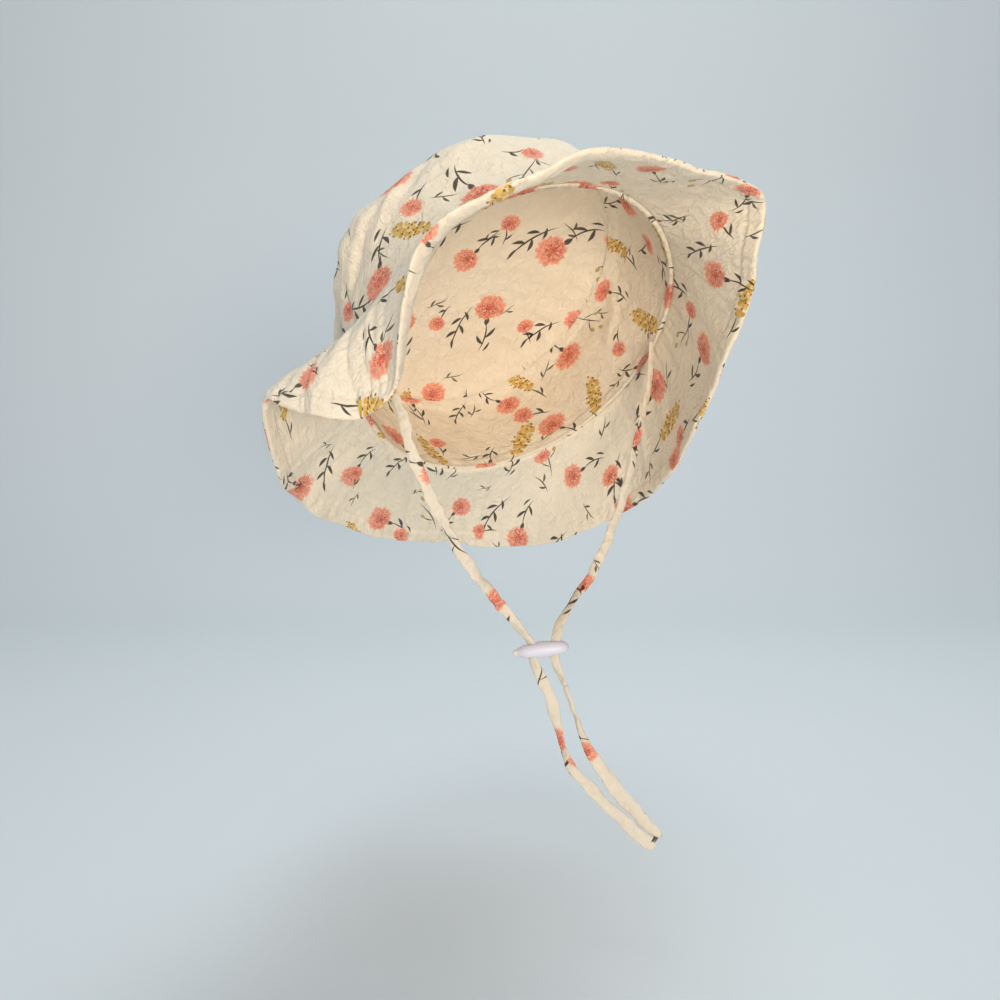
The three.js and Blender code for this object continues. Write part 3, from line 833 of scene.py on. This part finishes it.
# tack at the strap's end: oval turns of thread round both strands, each a small ring carried along an oval
def makeTack():
    back = -1 - int(endTack["backFromEnd"] / strap["step"])
    middle = (pathLeft[back] + pathRight[back]) / 2
    across = pathRight[back] - pathLeft[back]
    across = across / np.linalg.norm(across)
    along = pathLeft[-1] - pathLeft[-4] + pathRight[-1] - pathRight[-4]
    along = along - across * np.dot(along, across)
    along = along / np.linalg.norm(along)
    deep = np.cross(across, along)
    steps = endTack["steps"]
    sides = endTack["sides"]
    turn = np.arange(steps)[:, None] * 2 * math.pi / steps
    small = np.arange(sides) * 2 * math.pi / sides
    outward = np.cos(small) * endTack["radius"]
    sideways = np.sin(small) * endTack["radius"]
    cornerColumns, cornerRows, faceRow = gridFaces(steps, sides, True)
    ringFaces = (cornerColumns % steps) * sides + cornerRows
    rings = []
    faces = []
    for count in range(endTack["turns"]):
        shift = (count - (endTack["turns"] - 1) / 2) * endTack["spacing"]
        x = (endTack["reach"] + outward) * np.cos(turn)
        y = (endTack["deep"] + outward) * np.sin(turn)
        z = shift + endTack["slant"] * np.sin(turn + count) + sideways
        ring = middle + x[..., None] * across + y[..., None] * deep + z[..., None] * along
        faces.append(ringFaces + count * steps * sides)
        rings.append(ring.reshape(-1, 3))
    return addPiece("endTackThread", np.concatenate(rings), np.concatenate(faces).tolist())


endTackThread = makeTack()
print("hat: tack at the strap's end")


# small helpers for node trees
def newGroup(name, inputs, outputs):
    tree = bpy.data.node_groups.new(name, "ShaderNodeTree")
    for direction, sockets in (("INPUT", inputs), ("OUTPUT", outputs)):
        for socketName, kind in sockets.items():
            tree.interface.new_socket(socketName, in_out=direction, socket_type="NodeSocket" + kind)
    return tree, tree.nodes.new("NodeGroupInput").outputs, tree.nodes.new("NodeGroupOutput").inputs


def newMaterial(name):
    material = bpy.data.materials.new(name)
    material.use_nodes = True
    return material, material.node_tree, material.node_tree.nodes["Principled BSDF"]


def feed(tree, socket, value):
    if isinstance(value, bpy.types.NodeSocket):
        tree.links.new(value, socket)
    else:
        socket.default_value = value


def feedAll(tree, node, values):
    for name, value in values.items():
        feed(tree, node.inputs[name], value)
    return node


def number(tree, operation, first, second=None, third=None, clamp=False):
    node = tree.nodes.new("ShaderNodeMath")
    node.operation = operation
    node.use_clamp = clamp
    for socket, value in zip(node.inputs, (first, second, third)):
        if value is not None:
            feed(tree, socket, value)
    return node.outputs[0]


def times(tree, first, second):
    return number(tree, "MULTIPLY", first, second)


def wave(tree, value, count, shift):
    return number(tree, "SINE", number(tree, "MULTIPLY_ADD", value, count, shift))


# from 0 to 1 as a value falls below an edge, as steep as given
def below(tree, value, edge, steep):
    return number(tree, "MULTIPLY", number(tree, "SUBTRACT", edge, value), steep, clamp=True)


def vector(tree, operation, first, second=None):
    node = tree.nodes.new("ShaderNodeVectorMath")
    node.operation = operation
    feed(tree, node.inputs[0], first)
    if second is not None:
        feed(tree, node.inputs["Scale"] if operation == "SCALE" else node.inputs[1], second)
    return node.outputs["Value"] if operation in ("LENGTH", "DOT_PRODUCT") else node.outputs[0]


def parts(tree, place):
    node = tree.nodes.new("ShaderNodeSeparateXYZ")
    feed(tree, node.inputs[0], place)
    return node.outputs


def tint(tree, share, first, second):
    node = tree.nodes.new("ShaderNodeMix")
    node.data_type = "RGBA"
    feed(tree, node.inputs[0], share)
    feed(tree, node.inputs[6], first)
    feed(tree, node.inputs[7], second)
    return node.outputs[2]


def noiseAt(tree, place, scale, detail, roughness=0.5, dimensions="2D"):
    node = tree.nodes.new("ShaderNodeTexNoise")
    node.noise_dimensions = dimensions
    values = {"Vector": place, "Scale": scale, "Detail": detail, "Roughness": roughness}
    return feedAll(tree, node, values).outputs


def cellsAt(tree, place, size, feature, **values):
    node = tree.nodes.new("ShaderNodeTexVoronoi")
    node.voronoi_dimensions = "2D"
    node.feature = feature
    return feedAll(tree, node, {"Vector": place, "Scale": 1 / size, **values}).outputs


def addBump(tree, shader, height, strength, distance):
    bump = tree.nodes.new("ShaderNodeBump")
    feedAll(tree, bump, {"Height": height, "Strength": strength, "Distance": distance})
    tree.links.new(bump.outputs["Normal"], shader.inputs["Normal"])


def useGroup(tree, group, **values):
    node = tree.nodes.new("ShaderNodeGroup")
    node.node_tree = group
    return feedAll(tree, node, values).outputs


inkColours = {
    "cream": (0.835, 0.738, 0.585, 1),
    "peach": (0.89, 0.42, 0.28, 1),
    "coral": (0.77, 0.185, 0.11, 1),
    "deepRed": (0.36, 0.030, 0.025, 1),
    "charcoal": (0.028, 0.023, 0.017, 1),
    "leafBrown": (0.065, 0.058, 0.038, 1),
    "mustard": (0.56, 0.31, 0.045, 1),
    "paleGold": (0.76, 0.52, 0.15, 1),
    "darkGold": (0.17, 0.085, 0.016, 1),
    "olive": (0.20, 0.19, 0.045, 1),
}


# one brush stroke: a lens 1 - y squared - |x| on its own two axes, its middle line bent by y squared
def makeStrokeGroup():
    edge = 3.4
    tree, given, result = newGroup(
        "brushStroke",
        {"Place": "Vector", "Middle": "Vector", "Across": "Vector", "Along": "Vector", "Half": "Vector"},
        {"Mask": "Float"})
    local = vector(tree, "SUBTRACT", given["Place"], given["Middle"])
    half = parts(tree, given["Half"])
    along = number(tree, "DIVIDE", vector(tree, "DOT_PRODUCT", local, given["Along"]), half[1])
    square = times(tree, along, along)
    aside = vector(tree, "DOT_PRODUCT", local, given["Across"])
    bent = number(tree, "MULTIPLY_ADD", square, half[2], aside)
    across = number(tree, "DIVIDE", number(tree, "ABSOLUTE", bent), half[0])
    lens = number(tree, "SUBTRACT", number(tree, "SUBTRACT", 1.0, square), across)
    tree.links.new(number(tree, "MULTIPLY", lens, edge, clamp=True), result["Mask"])
    return tree


tossed = {
    "jitter": 0.2,
    "smallest": 0.78,
    "growth": 0.3,
    "seedStep": 0.37,
}


# a tossed layout: a brick grid of slots, each with its own small shift, turn, flip and size
def makeTossGroup():
    tree, given, result = newGroup(
        "tossedSlots", {"Place": "Vector", "Pitch": "Float", "Shift": "Vector", "Sway": "Float"},
        {"Local": "Vector", "Pick": "Float"})
    scaled = vector(tree, "DIVIDE", vector(tree, "ADD", given["Place"], given["Shift"]), given["Pitch"])
    row = number(tree, "FLOOR", parts(tree, scaled)[1])
    joined = tree.nodes.new("ShaderNodeCombineXYZ")
    tree.links.new(times(tree, number(tree, "FLOORED_MODULO", row, 2.0), 0.5), joined.inputs[0])
    bricked = vector(tree, "ADD", scaled, joined.outputs[0])
    slotAt = vector(tree, "FLOOR", bricked)
    inSlot = vector(tree, "SUBTRACT", vector(tree, "SUBTRACT", bricked, slotAt), (0.5, 0.5, 0.0))
    chance = tree.nodes.new("ShaderNodeTexWhiteNoise")
    chance.noise_dimensions = "3D"
    ownSeed = vector(tree, "SCALE", given["Shift"], tossed["seedStep"])
    tree.links.new(vector(tree, "ADD", slotAt, ownSeed), chance.inputs["Vector"])
    luck = parts(tree, chance.outputs["Color"])
    centred = vector(tree, "SUBTRACT", chance.outputs["Color"], (0.5, 0.5, 0.5))
    moved = vector(tree, "SUBTRACT", inSlot, vector(tree, "SCALE", centred, tossed["jitter"]))
    flip = times(tree, number(tree, "GREATER_THAN", luck[0], 0.5), math.pi)
    sway = times(tree, number(tree, "SUBTRACT", luck[2], 0.5), given["Sway"])
    turned = tree.nodes.new("ShaderNodeVectorRotate")
    turned.rotation_type = "Z_AXIS"
    feedAll(tree, turned, {"Vector": moved, "Angle": number(tree, "ADD", flip, sway)})
    grown = number(tree, "MULTIPLY_ADD", luck[1], tossed["growth"], tossed["smallest"])
    size = number(tree, "DIVIDE", given["Pitch"], grown)
    flat = vector(tree, "MULTIPLY", vector(tree, "SCALE", turned.outputs[0], size), (1.0, 1.0, 0.0))
    tree.links.new(flat, result["Local"])
    tree.links.new(chance.outputs["Value"], result["Pick"])
    return tree


blossom = {
    "oval": (0.94, 1.1, 1.0),
    "teeth": 14.0,
    "toothShift": 8.0,
    "toothDepth": 0.055,
    "edge": 0.90,
    "fray": 0.42,
    "lobes": 5.0,
    "frills": 12.0,
    "frillShift": 11.0,
    "heartShift": (0.06, 0.16, 0.0),
    "heartSize": 0.76,
    "spokes": 11.0,
    "spokeShift": 14.0,
    "coreSize": 0.2,
    "darkness": 0.88,
}


# a frilled blossom: a round edge with fine teeth, frills as waves of the radius, spokes round its heart
def makeBlossomGroup():
    tree, given, result = newGroup(
        "frilledBlossom", {"Place": "Vector", "Middle": "Vector", "Size": "Float", "Fray": "Float",
                           "Fleck": "Float", "Ground": "Color"}, {"Color": "Color"})
    local = vector(tree, "DIVIDE", vector(tree, "SUBTRACT", given["Place"], given["Middle"]), given["Size"])
    oval = vector(tree, "MULTIPLY", local, blossom["oval"])
    place = parts(tree, oval)
    radius = vector(tree, "LENGTH", oval)
    angle = number(tree, "ARCTAN2", place[1], place[0])
    fray = number(tree, "SUBTRACT", given["Fray"], 0.5)
    fleck = number(tree, "SUBTRACT", given["Fleck"], 0.5)
    teeth = wave(tree, angle, blossom["teeth"], times(tree, fray, blossom["toothShift"]))
    rough = number(tree, "MULTIPLY_ADD", fray, blossom["fray"], blossom["edge"])
    edge = number(tree, "MULTIPLY_ADD", teeth, blossom["toothDepth"], rough)
    inside = below(tree, radius, edge, 8.0)
    lobes = number(tree, "SINE", times(tree, angle, blossom["lobes"]))
    shift = number(tree, "ADD", lobes, times(tree, fleck, blossom["frillShift"]))
    frill = wave(tree, radius, blossom["frills"], shift)
    tone = number(tree, "SUBTRACT", number(tree, "MULTIPLY_ADD", frill, 0.5, 0.92), radius, clamp=True)
    petal = tint(tree, tone, inkColours["peach"], inkColours["coral"])
    fromHeart = vector(tree, "LENGTH", vector(tree, "ADD", oval, blossom["heartShift"]))
    heart = below(tree, fromHeart, blossom["heartSize"], 2.4)
    spoke = wave(tree, angle, blossom["spokes"], times(tree, fleck, blossom["spokeShift"]))
    dark = times(tree, number(tree, "MULTIPLY_ADD", spoke, 2.6, -0.7, clamp=True), heart)
    core = below(tree, fromHeart, blossom["coreSize"], 5.0)
    dark = number(tree, "MAXIMUM", dark, times(tree, core, 0.8))
    petal = tint(tree, times(tree, dark, blossom["darkness"]), petal, inkColours["deepRed"])
    wash = times(tree, inside, number(tree, "MULTIPLY_ADD", fray, 0.4, 0.95, clamp=True))
    tree.links.new(tint(tree, wash, given["Ground"], petal), result["Color"])
    return tree


spike = {
    "beadSize": 1.7,
    "beadLoose": 0.7,
    "dotSize": 1.25,
    "dotLoose": 0.9,
    "dotShare": 0.62,
    "wash": 0.55,
}


# a spike of seed beads: round cells centred in a slim oval, over a pale gold wash, with dark dots
def makeSpikeGroup():
    tree, given, result = newGroup(
        "seedSpike", {"Place": "Vector", "Middle": "Vector", "Half": "Vector", "Ground": "Color"},
        {"Color": "Color"})
    local = vector(tree, "SUBTRACT", given["Place"], given["Middle"])
    layers = []
    for size, loose in [(spike["beadSize"], spike["beadLoose"]), (spike["dotSize"], spike["dotLoose"])]:
        cells = cellsAt(tree, local, size, "F1", Randomness=loose)
        spread = vector(tree, "LENGTH", vector(tree, "DIVIDE", cells["Position"], given["Half"]))
        kept = number(tree, "LESS_THAN", spread, 1.0)
        layers.append((cells["Distance"], kept, parts(tree, cells["Color"])))
    oval = vector(tree, "LENGTH", vector(tree, "DIVIDE", local, given["Half"]))
    wash = times(tree, below(tree, oval, 0.92, 3.0), spike["wash"])
    colour = tint(tree, wash, given["Ground"], inkColours["paleGold"])
    distance, kept, luck = layers[0]
    bead = below(tree, distance, 0.56, 8.0)
    gold = tint(tree, luck[0], inkColours["mustard"], inkColours["paleGold"])
    gold = tint(tree, below(tree, 0.34, distance, 2.6), gold, inkColours["mustard"])  # darker rim
    colour = tint(tree, times(tree, bead, kept), colour, gold)
    distance, kept, luck = layers[1]
    dot = times(tree, below(tree, distance, 0.36, 9.0), kept)
    dot = times(tree, dot, number(tree, "GREATER_THAN", luck[1], spike["dotShare"]))
    tree.links.new(tint(tree, times(tree, dot, 0.9), colour, inkColours["darkGold"]), result["Color"])
    return tree


strokeGroup = makeStrokeGroup()
tossGroup = makeTossGroup()
blossomGroup = makeBlossomGroup()
spikeGroup = makeSpikeGroup()

# strokes of each motif in millimetres: x, y, turn in degrees, half width, half length, bend
motifStrokes = {
    "bloomSprig": [
        (0.0, 0.6, 0, 1.0, 1.9, 0.0),
        (0.6, -5.2, -4, 0.34, 6.6, 1.6),
        (2.4, -4.2, -38, 0.72, 2.9, 0.5),
        (-1.5, -6.8, 42, 0.66, 2.6, -0.5),
        (1.9, -9.4, -30, 0.5, 2.2, 0.4),
    ],
    "seedStem": [
        (0.3, -8.6, 3, 0.36, 5.2, 0.6),
        (1.7, -9.0, -32, 0.5, 2.3, 0.4),
    ],
    "budStem": [
        (0.0, -2.0, 2, 0.30, 9.4, 1.3),
        (2.2, 1.2, -40, 0.28, 3.6, 0.5),
        (-2.0, -2.6, 36, 0.28, 3.4, -0.5),
    ],
    "buds": [
        (3.1, 4.0, -10, 0.95, 1.5, 0.0),
        (-3.4, 0.4, 24, 0.85, 1.4, 0.0),
        (0.8, 7.6, 6, 1.0, 1.6, 0.0),
    ],
    "leafTwig": [
        (0.2, 0.0, -3, 0.36, 10.5, 1.8),
        (1.9, 3.2, -42, 0.80, 2.7, 0.5),
        (-1.7, 0.6, 44, 0.74, 2.6, -0.5),
        (2.1, -2.2, -40, 0.76, 2.6, 0.5),
        (-1.2, -5.0, 40, 0.60, 2.3, -0.4),
        (-0.2, 7.0, 18, 0.60, 2.4, 0.3),
    ],
    "shortStem": [
        (0.3, -5.4, 6, 0.34, 4.2, 0.8),
        (1.5, -5.6, -40, 0.6, 2.0, 0.3),
    ],
    "smallTwig": [
        (0.0, 0.0, 0, 0.28, 5.2, 0.9),
        (1.5, 0.8, -42, 0.52, 1.9, 0.3),
        (-1.2, -1.8, 40, 0.50, 1.8, -0.3),
    ],
}


# all strokes of one motif joined by the larger mask
def inkMask(tree, place, rows):
    total = None
    for x, y, turn, halfWide, halfLong, bend in rows:
        cosine = math.cos(math.radians(turn))
        sine = math.sin(math.radians(turn))
        stroke = useGroup(tree, strokeGroup, Place=place, Middle=(x, y, 0), Across=(cosine, sine, 0),
                          Along=(-sine, cosine, 0), Half=(halfWide, halfLong, bend))["Mask"]
        total = stroke if total is None else number(tree, "MAXIMUM", total, stroke)
    return total


# pitch, shift and sway of each layer of slots, in millimetres and radians, and what the slots hold
wildflowers = {
    "twigSlots": {"Pitch": 27.0, "Shift": (6.0, 20.0, 3.0), "Sway": 5.0},
    "stemSlots": {"Pitch": 31.0, "Shift": (15.5, 0.0, 7.0), "Sway": 1.7},
    "bloomSlots": {"Pitch": 31.0, "Shift": (0.0, 0.0, 0.0), "Sway": 1.9},
    "smallBloomSlots": {"Pitch": 36.0, "Shift": (9.0, 30.0, 5.0), "Sway": 3.0},
    "spikesUpTo": 0.42,
    "budsUpTo": 0.70,
    "spike": {"Middle": (0.0, 3.6, 0.0), "Half": (2.9, 8.8, 1.0)},
    "bloom": {"Middle": (0.0, 6.0, 0.0), "Size": 6.1},
    "smallBloom": {"Middle": (0.0, 0.0, 0.0), "Size": 4.1},
    "darkInk": 0.93,
    "lightInk": 0.9,
}


# wildflower print: layers of tossed motifs laid over the ground, on fabric places in millimetres
def makePrintGroup():
    tree, given, result = newGroup(
        "wildflowerPrint", {"Place": "Vector", "Ground": "Color", "Gold": "Float"}, {"Color": "Color"})
    place = given["Place"]
    fray = noiseAt(tree, place, 0.42, 3.0, 0.65)["Fac"]
    fleck = noiseAt(tree, place, 1.3, 2.0)["Fac"]
    dark = wildflowers["darkInk"]
    light = wildflowers["lightInk"]

    twigs = useGroup(tree, tossGroup, Place=place, **wildflowers["twigSlots"])
    twigMask = inkMask(tree, twigs["Local"], motifStrokes["smallTwig"])
    colour = tint(tree, times(tree, twigMask, light), given["Ground"], inkColours["leafBrown"])

    second = useGroup(tree, tossGroup, Place=place, **wildflowers["stemSlots"])
    local = second["Local"]
    pick = second["Pick"]
    isSpike = times(tree, number(tree, "LESS_THAN", pick, wildflowers["spikesUpTo"]), given["Gold"])
    isBud = times(tree, number(tree, "GREATER_THAN", pick, wildflowers["spikesUpTo"]),
                  number(tree, "LESS_THAN", pick, wildflowers["budsUpTo"]))
    isTwig = number(tree, "GREATER_THAN", pick, wildflowers["budsUpTo"])
    stem = times(tree, inkMask(tree, local, motifStrokes["seedStem"]), isSpike)
    budStem = times(tree, inkMask(tree, local, motifStrokes["budStem"]), isBud)
    twig = times(tree, inkMask(tree, local, motifStrokes["leafTwig"]), isTwig)
    stems = number(tree, "MAXIMUM", number(tree, "MAXIMUM", stem, budStem), twig)
    colour = tint(tree, times(tree, stems, dark), colour, inkColours["charcoal"])
    buds = times(tree, times(tree, inkMask(tree, local, motifStrokes["buds"]), isBud), given["Gold"])
    budTone = tint(tree, fleck, inkColours["olive"], inkColours["paleGold"])
    colour = tint(tree, times(tree, buds, light), colour, budTone)
    seeds = useGroup(tree, spikeGroup, Place=local, Ground=colour, **wildflowers["spike"])
    colour = tint(tree, isSpike, colour, seeds["Color"])

    for slots, strokes, bloom in [("bloomSlots", "bloomSprig", "bloom"),
                                  ("smallBloomSlots", "shortStem", "smallBloom")]:
        local = useGroup(tree, tossGroup, Place=place, **wildflowers[slots])["Local"]
        stems = inkMask(tree, local, motifStrokes[strokes])
        colour = tint(tree, times(tree, stems, dark), colour, inkColours["charcoal"])
        colour = useGroup(tree, blossomGroup, Place=local, Fray=fray, Fleck=fleck, Ground=colour,
                          **wildflowers[bloom])["Color"]
    tree.links.new(colour, result["Color"])
    return tree


cotton = {
    "waverScale": 0.13,
    "waverPull": 9.0,
    # size and depth of the two sizes of crumple, in millimetres
    "crumples": [(8.0, 0.85), (3.4, 0.38)],
    "crumpleSoftness": 0.25,
    "crinkleScale": 0.7,
    "crinkleStretch": (1.0, 0.4, 1.0),
    "crinkleDepth": 0.75,
    "threadPair": 0.55,
    "weaveDepth": 0.018,
    "bumpStrength": 0.8,
}


# crinkled cotton: faceted crumple from two sizes of cells, a drawn-out finer crinkle and a plain weave as
# height, and painted shade that darkens the colour where the crinkle and the weave dip
def makeCrinkleGroup():
    tree, given, result = newGroup(
        "crinkledCotton", {"Place": "Vector"}, {"Height": "Float", "Shade": "Float"})
    place = given["Place"]
    waver = noiseAt(tree, place, cotton["waverScale"], 3.0)["Color"]
    pulled = vector(tree, "ADD", place, vector(tree, "SCALE", waver, cotton["waverPull"]))
    stretched = vector(tree, "MULTIPLY", pulled, cotton["crinkleStretch"])
    crinkle = noiseAt(tree, stretched, cotton["crinkleScale"], 3.0)["Fac"]
    weaveAt = parts(tree, vector(tree, "SCALE", place, 2 * math.pi / cotton["threadPair"]))
    weave = times(tree, number(tree, "SINE", weaveAt[0]), number(tree, "SINE", weaveAt[1]))
    height = times(tree, crinkle, cotton["crinkleDepth"])
    height = number(tree, "MULTIPLY_ADD", weave, cotton["weaveDepth"], height)
    for size, depth in cotton["crumples"]:
        cells = cellsAt(tree, pulled, size, "SMOOTH_F1", Smoothness=cotton["crumpleSoftness"])
        height = number(tree, "MULTIPLY_ADD", cells["Distance"], depth, height)
    tree.links.new(height, result["Height"])
    # painted shade: the colour is made darker where the crinkle and the weave sink
    shade = number(tree, "MULTIPLY_ADD", crinkle, 0.10, 0.93)
    tree.links.new(number(tree, "MULTIPLY_ADD", weave, 0.03, shade), result["Shade"])
    return tree


printGroup = makePrintGroup()
crinkleGroup = makeCrinkleGroup()


# printed cotton: the print darkened by painted shade from the crinkle and the weave, rough, softly sheened,
# with crinkles as bump
def makeCotton(name, ground, bumpDistance, printScale, gold):
    material, tree, shader = newMaterial(name)
    fabric = tree.nodes.new("ShaderNodeUVMap")
    fabric.uv_map = "fabric"
    place = vector(tree, "SCALE", fabric.outputs["UV"], 1 / mm)
    crinkle = useGroup(tree, crinkleGroup, Place=place)
    printPlace = vector(tree, "SCALE", place, printScale)
    printed = useGroup(tree, printGroup, Place=printPlace, Ground=ground, Gold=gold)
    feedAll(tree, shader, {
        # the base colour carries the painted shade of the crinkle and the weave
        "Base Color": vector(tree, "SCALE", printed["Color"], crinkle["Shade"]),
        "Roughness": 0.92,
        "Specular IOR Level": 0.18,
        "Sheen Weight": 0.12,
        "Sheen Roughness": 0.5,
    })
    addBump(tree, shader, crinkle["Height"], cotton["bumpStrength"], bumpDistance)
    return material


# sewing thread: two tones mixed by a fine noise in space
def makeThread(name, twistScale, darkTone, lightTone, roughness):
    material, tree, shader = newMaterial(name)
    coordinates = tree.nodes.new("ShaderNodeTexCoord")
    twist = noiseAt(tree, coordinates.outputs["Object"], twistScale, 2.0, dimensions="3D")["Fac"]
    feedAll(tree, shader, {"Base Color": tint(tree, twist, darkTone, lightTone), "Roughness": roughness})
    return material


plastic = {
    "mottleScale": 420.0,
    "darkTone": (0.67, 0.665, 0.76, 1),
    "lightTone": (0.76, 0.755, 0.84, 1),
    "noseTone": (0.82, 0.74, 0.60, 1),
    "noseShare": 0.55,
    "noseEdge": 1600.0,
    "bump": (0.12, 0.0003),  # strength and distance
}


# satin plastic: lavender white, cream on the short nose, with a faint moulded mottle
def makeToggleMaterial():
    material, tree, shader = newMaterial("satinPlastic")
    place = tree.nodes.new("ShaderNodeTexCoord").outputs["Object"]
    mottle = noiseAt(tree, place, plastic["mottleScale"], 3.0, dimensions="3D")["Fac"]
    noseEnd = (toggle["centre"][0] - toggle["noseEnd"]) * mm
    onNose = below(tree, parts(tree, place)[0], noseEnd, plastic["noseEdge"])
    body = tint(tree, mottle, plastic["darkTone"], plastic["lightTone"])
    feedAll(tree, shader, {
        "Base Color": tint(tree, times(tree, onNose, plastic["noseShare"]), body, plastic["noseTone"]),
        "Roughness": number(tree, "MULTIPLY_ADD", mottle, 0.18, 0.28),
    })
    addBump(tree, shader, mottle, *plastic["bump"])
    return material


hatCotton = makeCotton("hatCotton", inkColours["cream"], 0.0010, 0.68, 1.0)
strapCotton = makeCotton("strapCotton", (0.765, 0.68, 0.55, 1), 0.0008, strap["printScale"], 0.0)
creamThread = makeThread("creamThread", 900.0, (0.80, 0.73, 0.60, 1), (0.92, 0.87, 0.76, 1), 0.8)
darkThread = makeThread("darkThread", 1100.0, (0.015, 0.015, 0.016, 1), (0.10, 0.095, 0.09, 1), 0.75)
satinPlastic = makeToggleMaterial()
finishes = [
    (brimCloth, hatCotton), (bandCloth, hatCotton), (tipCloth, hatCotton), (strandLeft, strapCotton),
    (strandRight, strapCotton), (toggleSlider, satinPlastic), (hemThreadTop, creamThread),
    (hemThreadUnder, creamThread), (endTackThread, darkThread),
]
for piece, material in finishes:
    piece.data.materials.clear()
    piece.data.materials.append(material)
print("hat: materials")


# what each piece rides on; the frame's own meshes are hidden
for piece, material in finishes:
    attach(piece, "root")
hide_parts("brim")
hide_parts("crown_band")
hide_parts("crown_tip")
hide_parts("strap_left")
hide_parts("strap_right")
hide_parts("toggle")
print("hat: pieces joined to the frame")


stageSet = {
    "floor": -0.345,
    "frontEdge": -4.0,
    "bendStart": 0.55,
    "bendRadius": 0.5,
    "bendSteps": 24,
    "height": 1.6,
    "halfWidth": 3.2,
    "colour": (0.665, 0.722, 0.757, 1),
}


# floor and backdrop in one sheet: flat, then a quarter bend, then upright
def makeStage():
    bend = np.linspace(0, math.pi / 2, stageSet["bendSteps"])
    radius = stageSet["bendRadius"]
    back = stageSet["bendStart"] + radius
    y = np.concatenate([[stageSet["frontEdge"]], stageSet["bendStart"] + radius * np.sin(bend), [back]])
    z = np.concatenate([[0], radius * (1 - np.cos(bend)), [stageSet["height"]]]) + stageSet["floor"]
    x = np.array([-stageSet["halfWidth"], stageSet["halfWidth"]])
    points = np.stack(np.broadcast_arrays(x[:, None], y[None, :], z[None, :]), axis=-1).reshape(-1, 3)
    rows = len(y)
    faces = [[row, rows + row, rows + row + 1, row + 1] for row in range(rows - 1)]
    sheet = addPiece("studioSheet", points / mm, faces)
    material, tree, shader = newMaterial("palePaper")
    feedAll(tree, shader, {"Base Color": stageSet["colour"], "Roughness": 0.95})
    sheet.data.materials.append(material)


# soft studio light: name, place, aim, size, power, spread in degrees and colour of each panel
lightPanels = [
    ("keyPanel", (-0.05, -0.4, 1.1), (0.0, 0.0, -0.08), 0.5, 2.9, 180, (0.885, 0.985, 1.0)),
    ("topPanel", (0.2, 0.35, 1.05), (0.0, 0.05, -0.1), 0.9, 4.5, 180, (0.86, 0.975, 1.0)),
    ("leftFill", (-1.4, -1.7, 0.25), (0.0, 0.0, -0.12), 0.7, 0.9, 70, (0.99, 0.96, 0.92)),
    ("frontFill", (0.45, -2.1, 0.1), (0.0, 0.0, -0.12), 0.7, 4.0, 70, (1.0, 0.89, 0.77)),
    ("underFill", (0.1, -0.8, -0.3), (0.0, 0.0, 0.25), 0.5, 1.1, 70, (1.0, 0.76, 0.52)),
    ("backFill", (0.3, 0.85, 0.75), (0.0, 0.0, -0.08), 0.7, 1.2, 90, (1.0, 0.95, 0.88)),
]

roomLight = {
    "colour": (0.93, 0.95, 1.0, 1),
    "strength": 0.36,
}


# each panel is a round lamp turned from its place to its aim, and the room gives an even weak light
def makeLights():
    for name, place, aim, size, power, spread, colour in lightPanels:
        data = bpy.data.lights.new(name, "AREA")
        data.shape = "DISK"
        data.size = size
        data.energy = power
        data.spread = math.radians(spread)
        data.color = colour
        panel = bpy.data.objects.new(name, data)
        direction = np.array(aim) - np.array(place)
        direction = direction / np.linalg.norm(direction)
        tilt = math.acos(-direction[2])
        heading = math.atan2(direction[1], direction[0]) - math.pi / 2
        panel.location = place
        panel.rotation_euler = (tilt, 0, heading)
        panel.visible_camera = False
        bpy.context.scene.collection.objects.link(panel)
    world = bpy.data.worlds.new("softRoom")
    world.use_nodes = True
    world.node_tree.nodes["Background"].inputs["Color"].default_value = roomLight["colour"]
    world.node_tree.nodes["Background"].inputs["Strength"].default_value = roomLight["strength"]
    bpy.context.scene.world = world


makeStage()
makeLights()
print("hat: stage and lights")
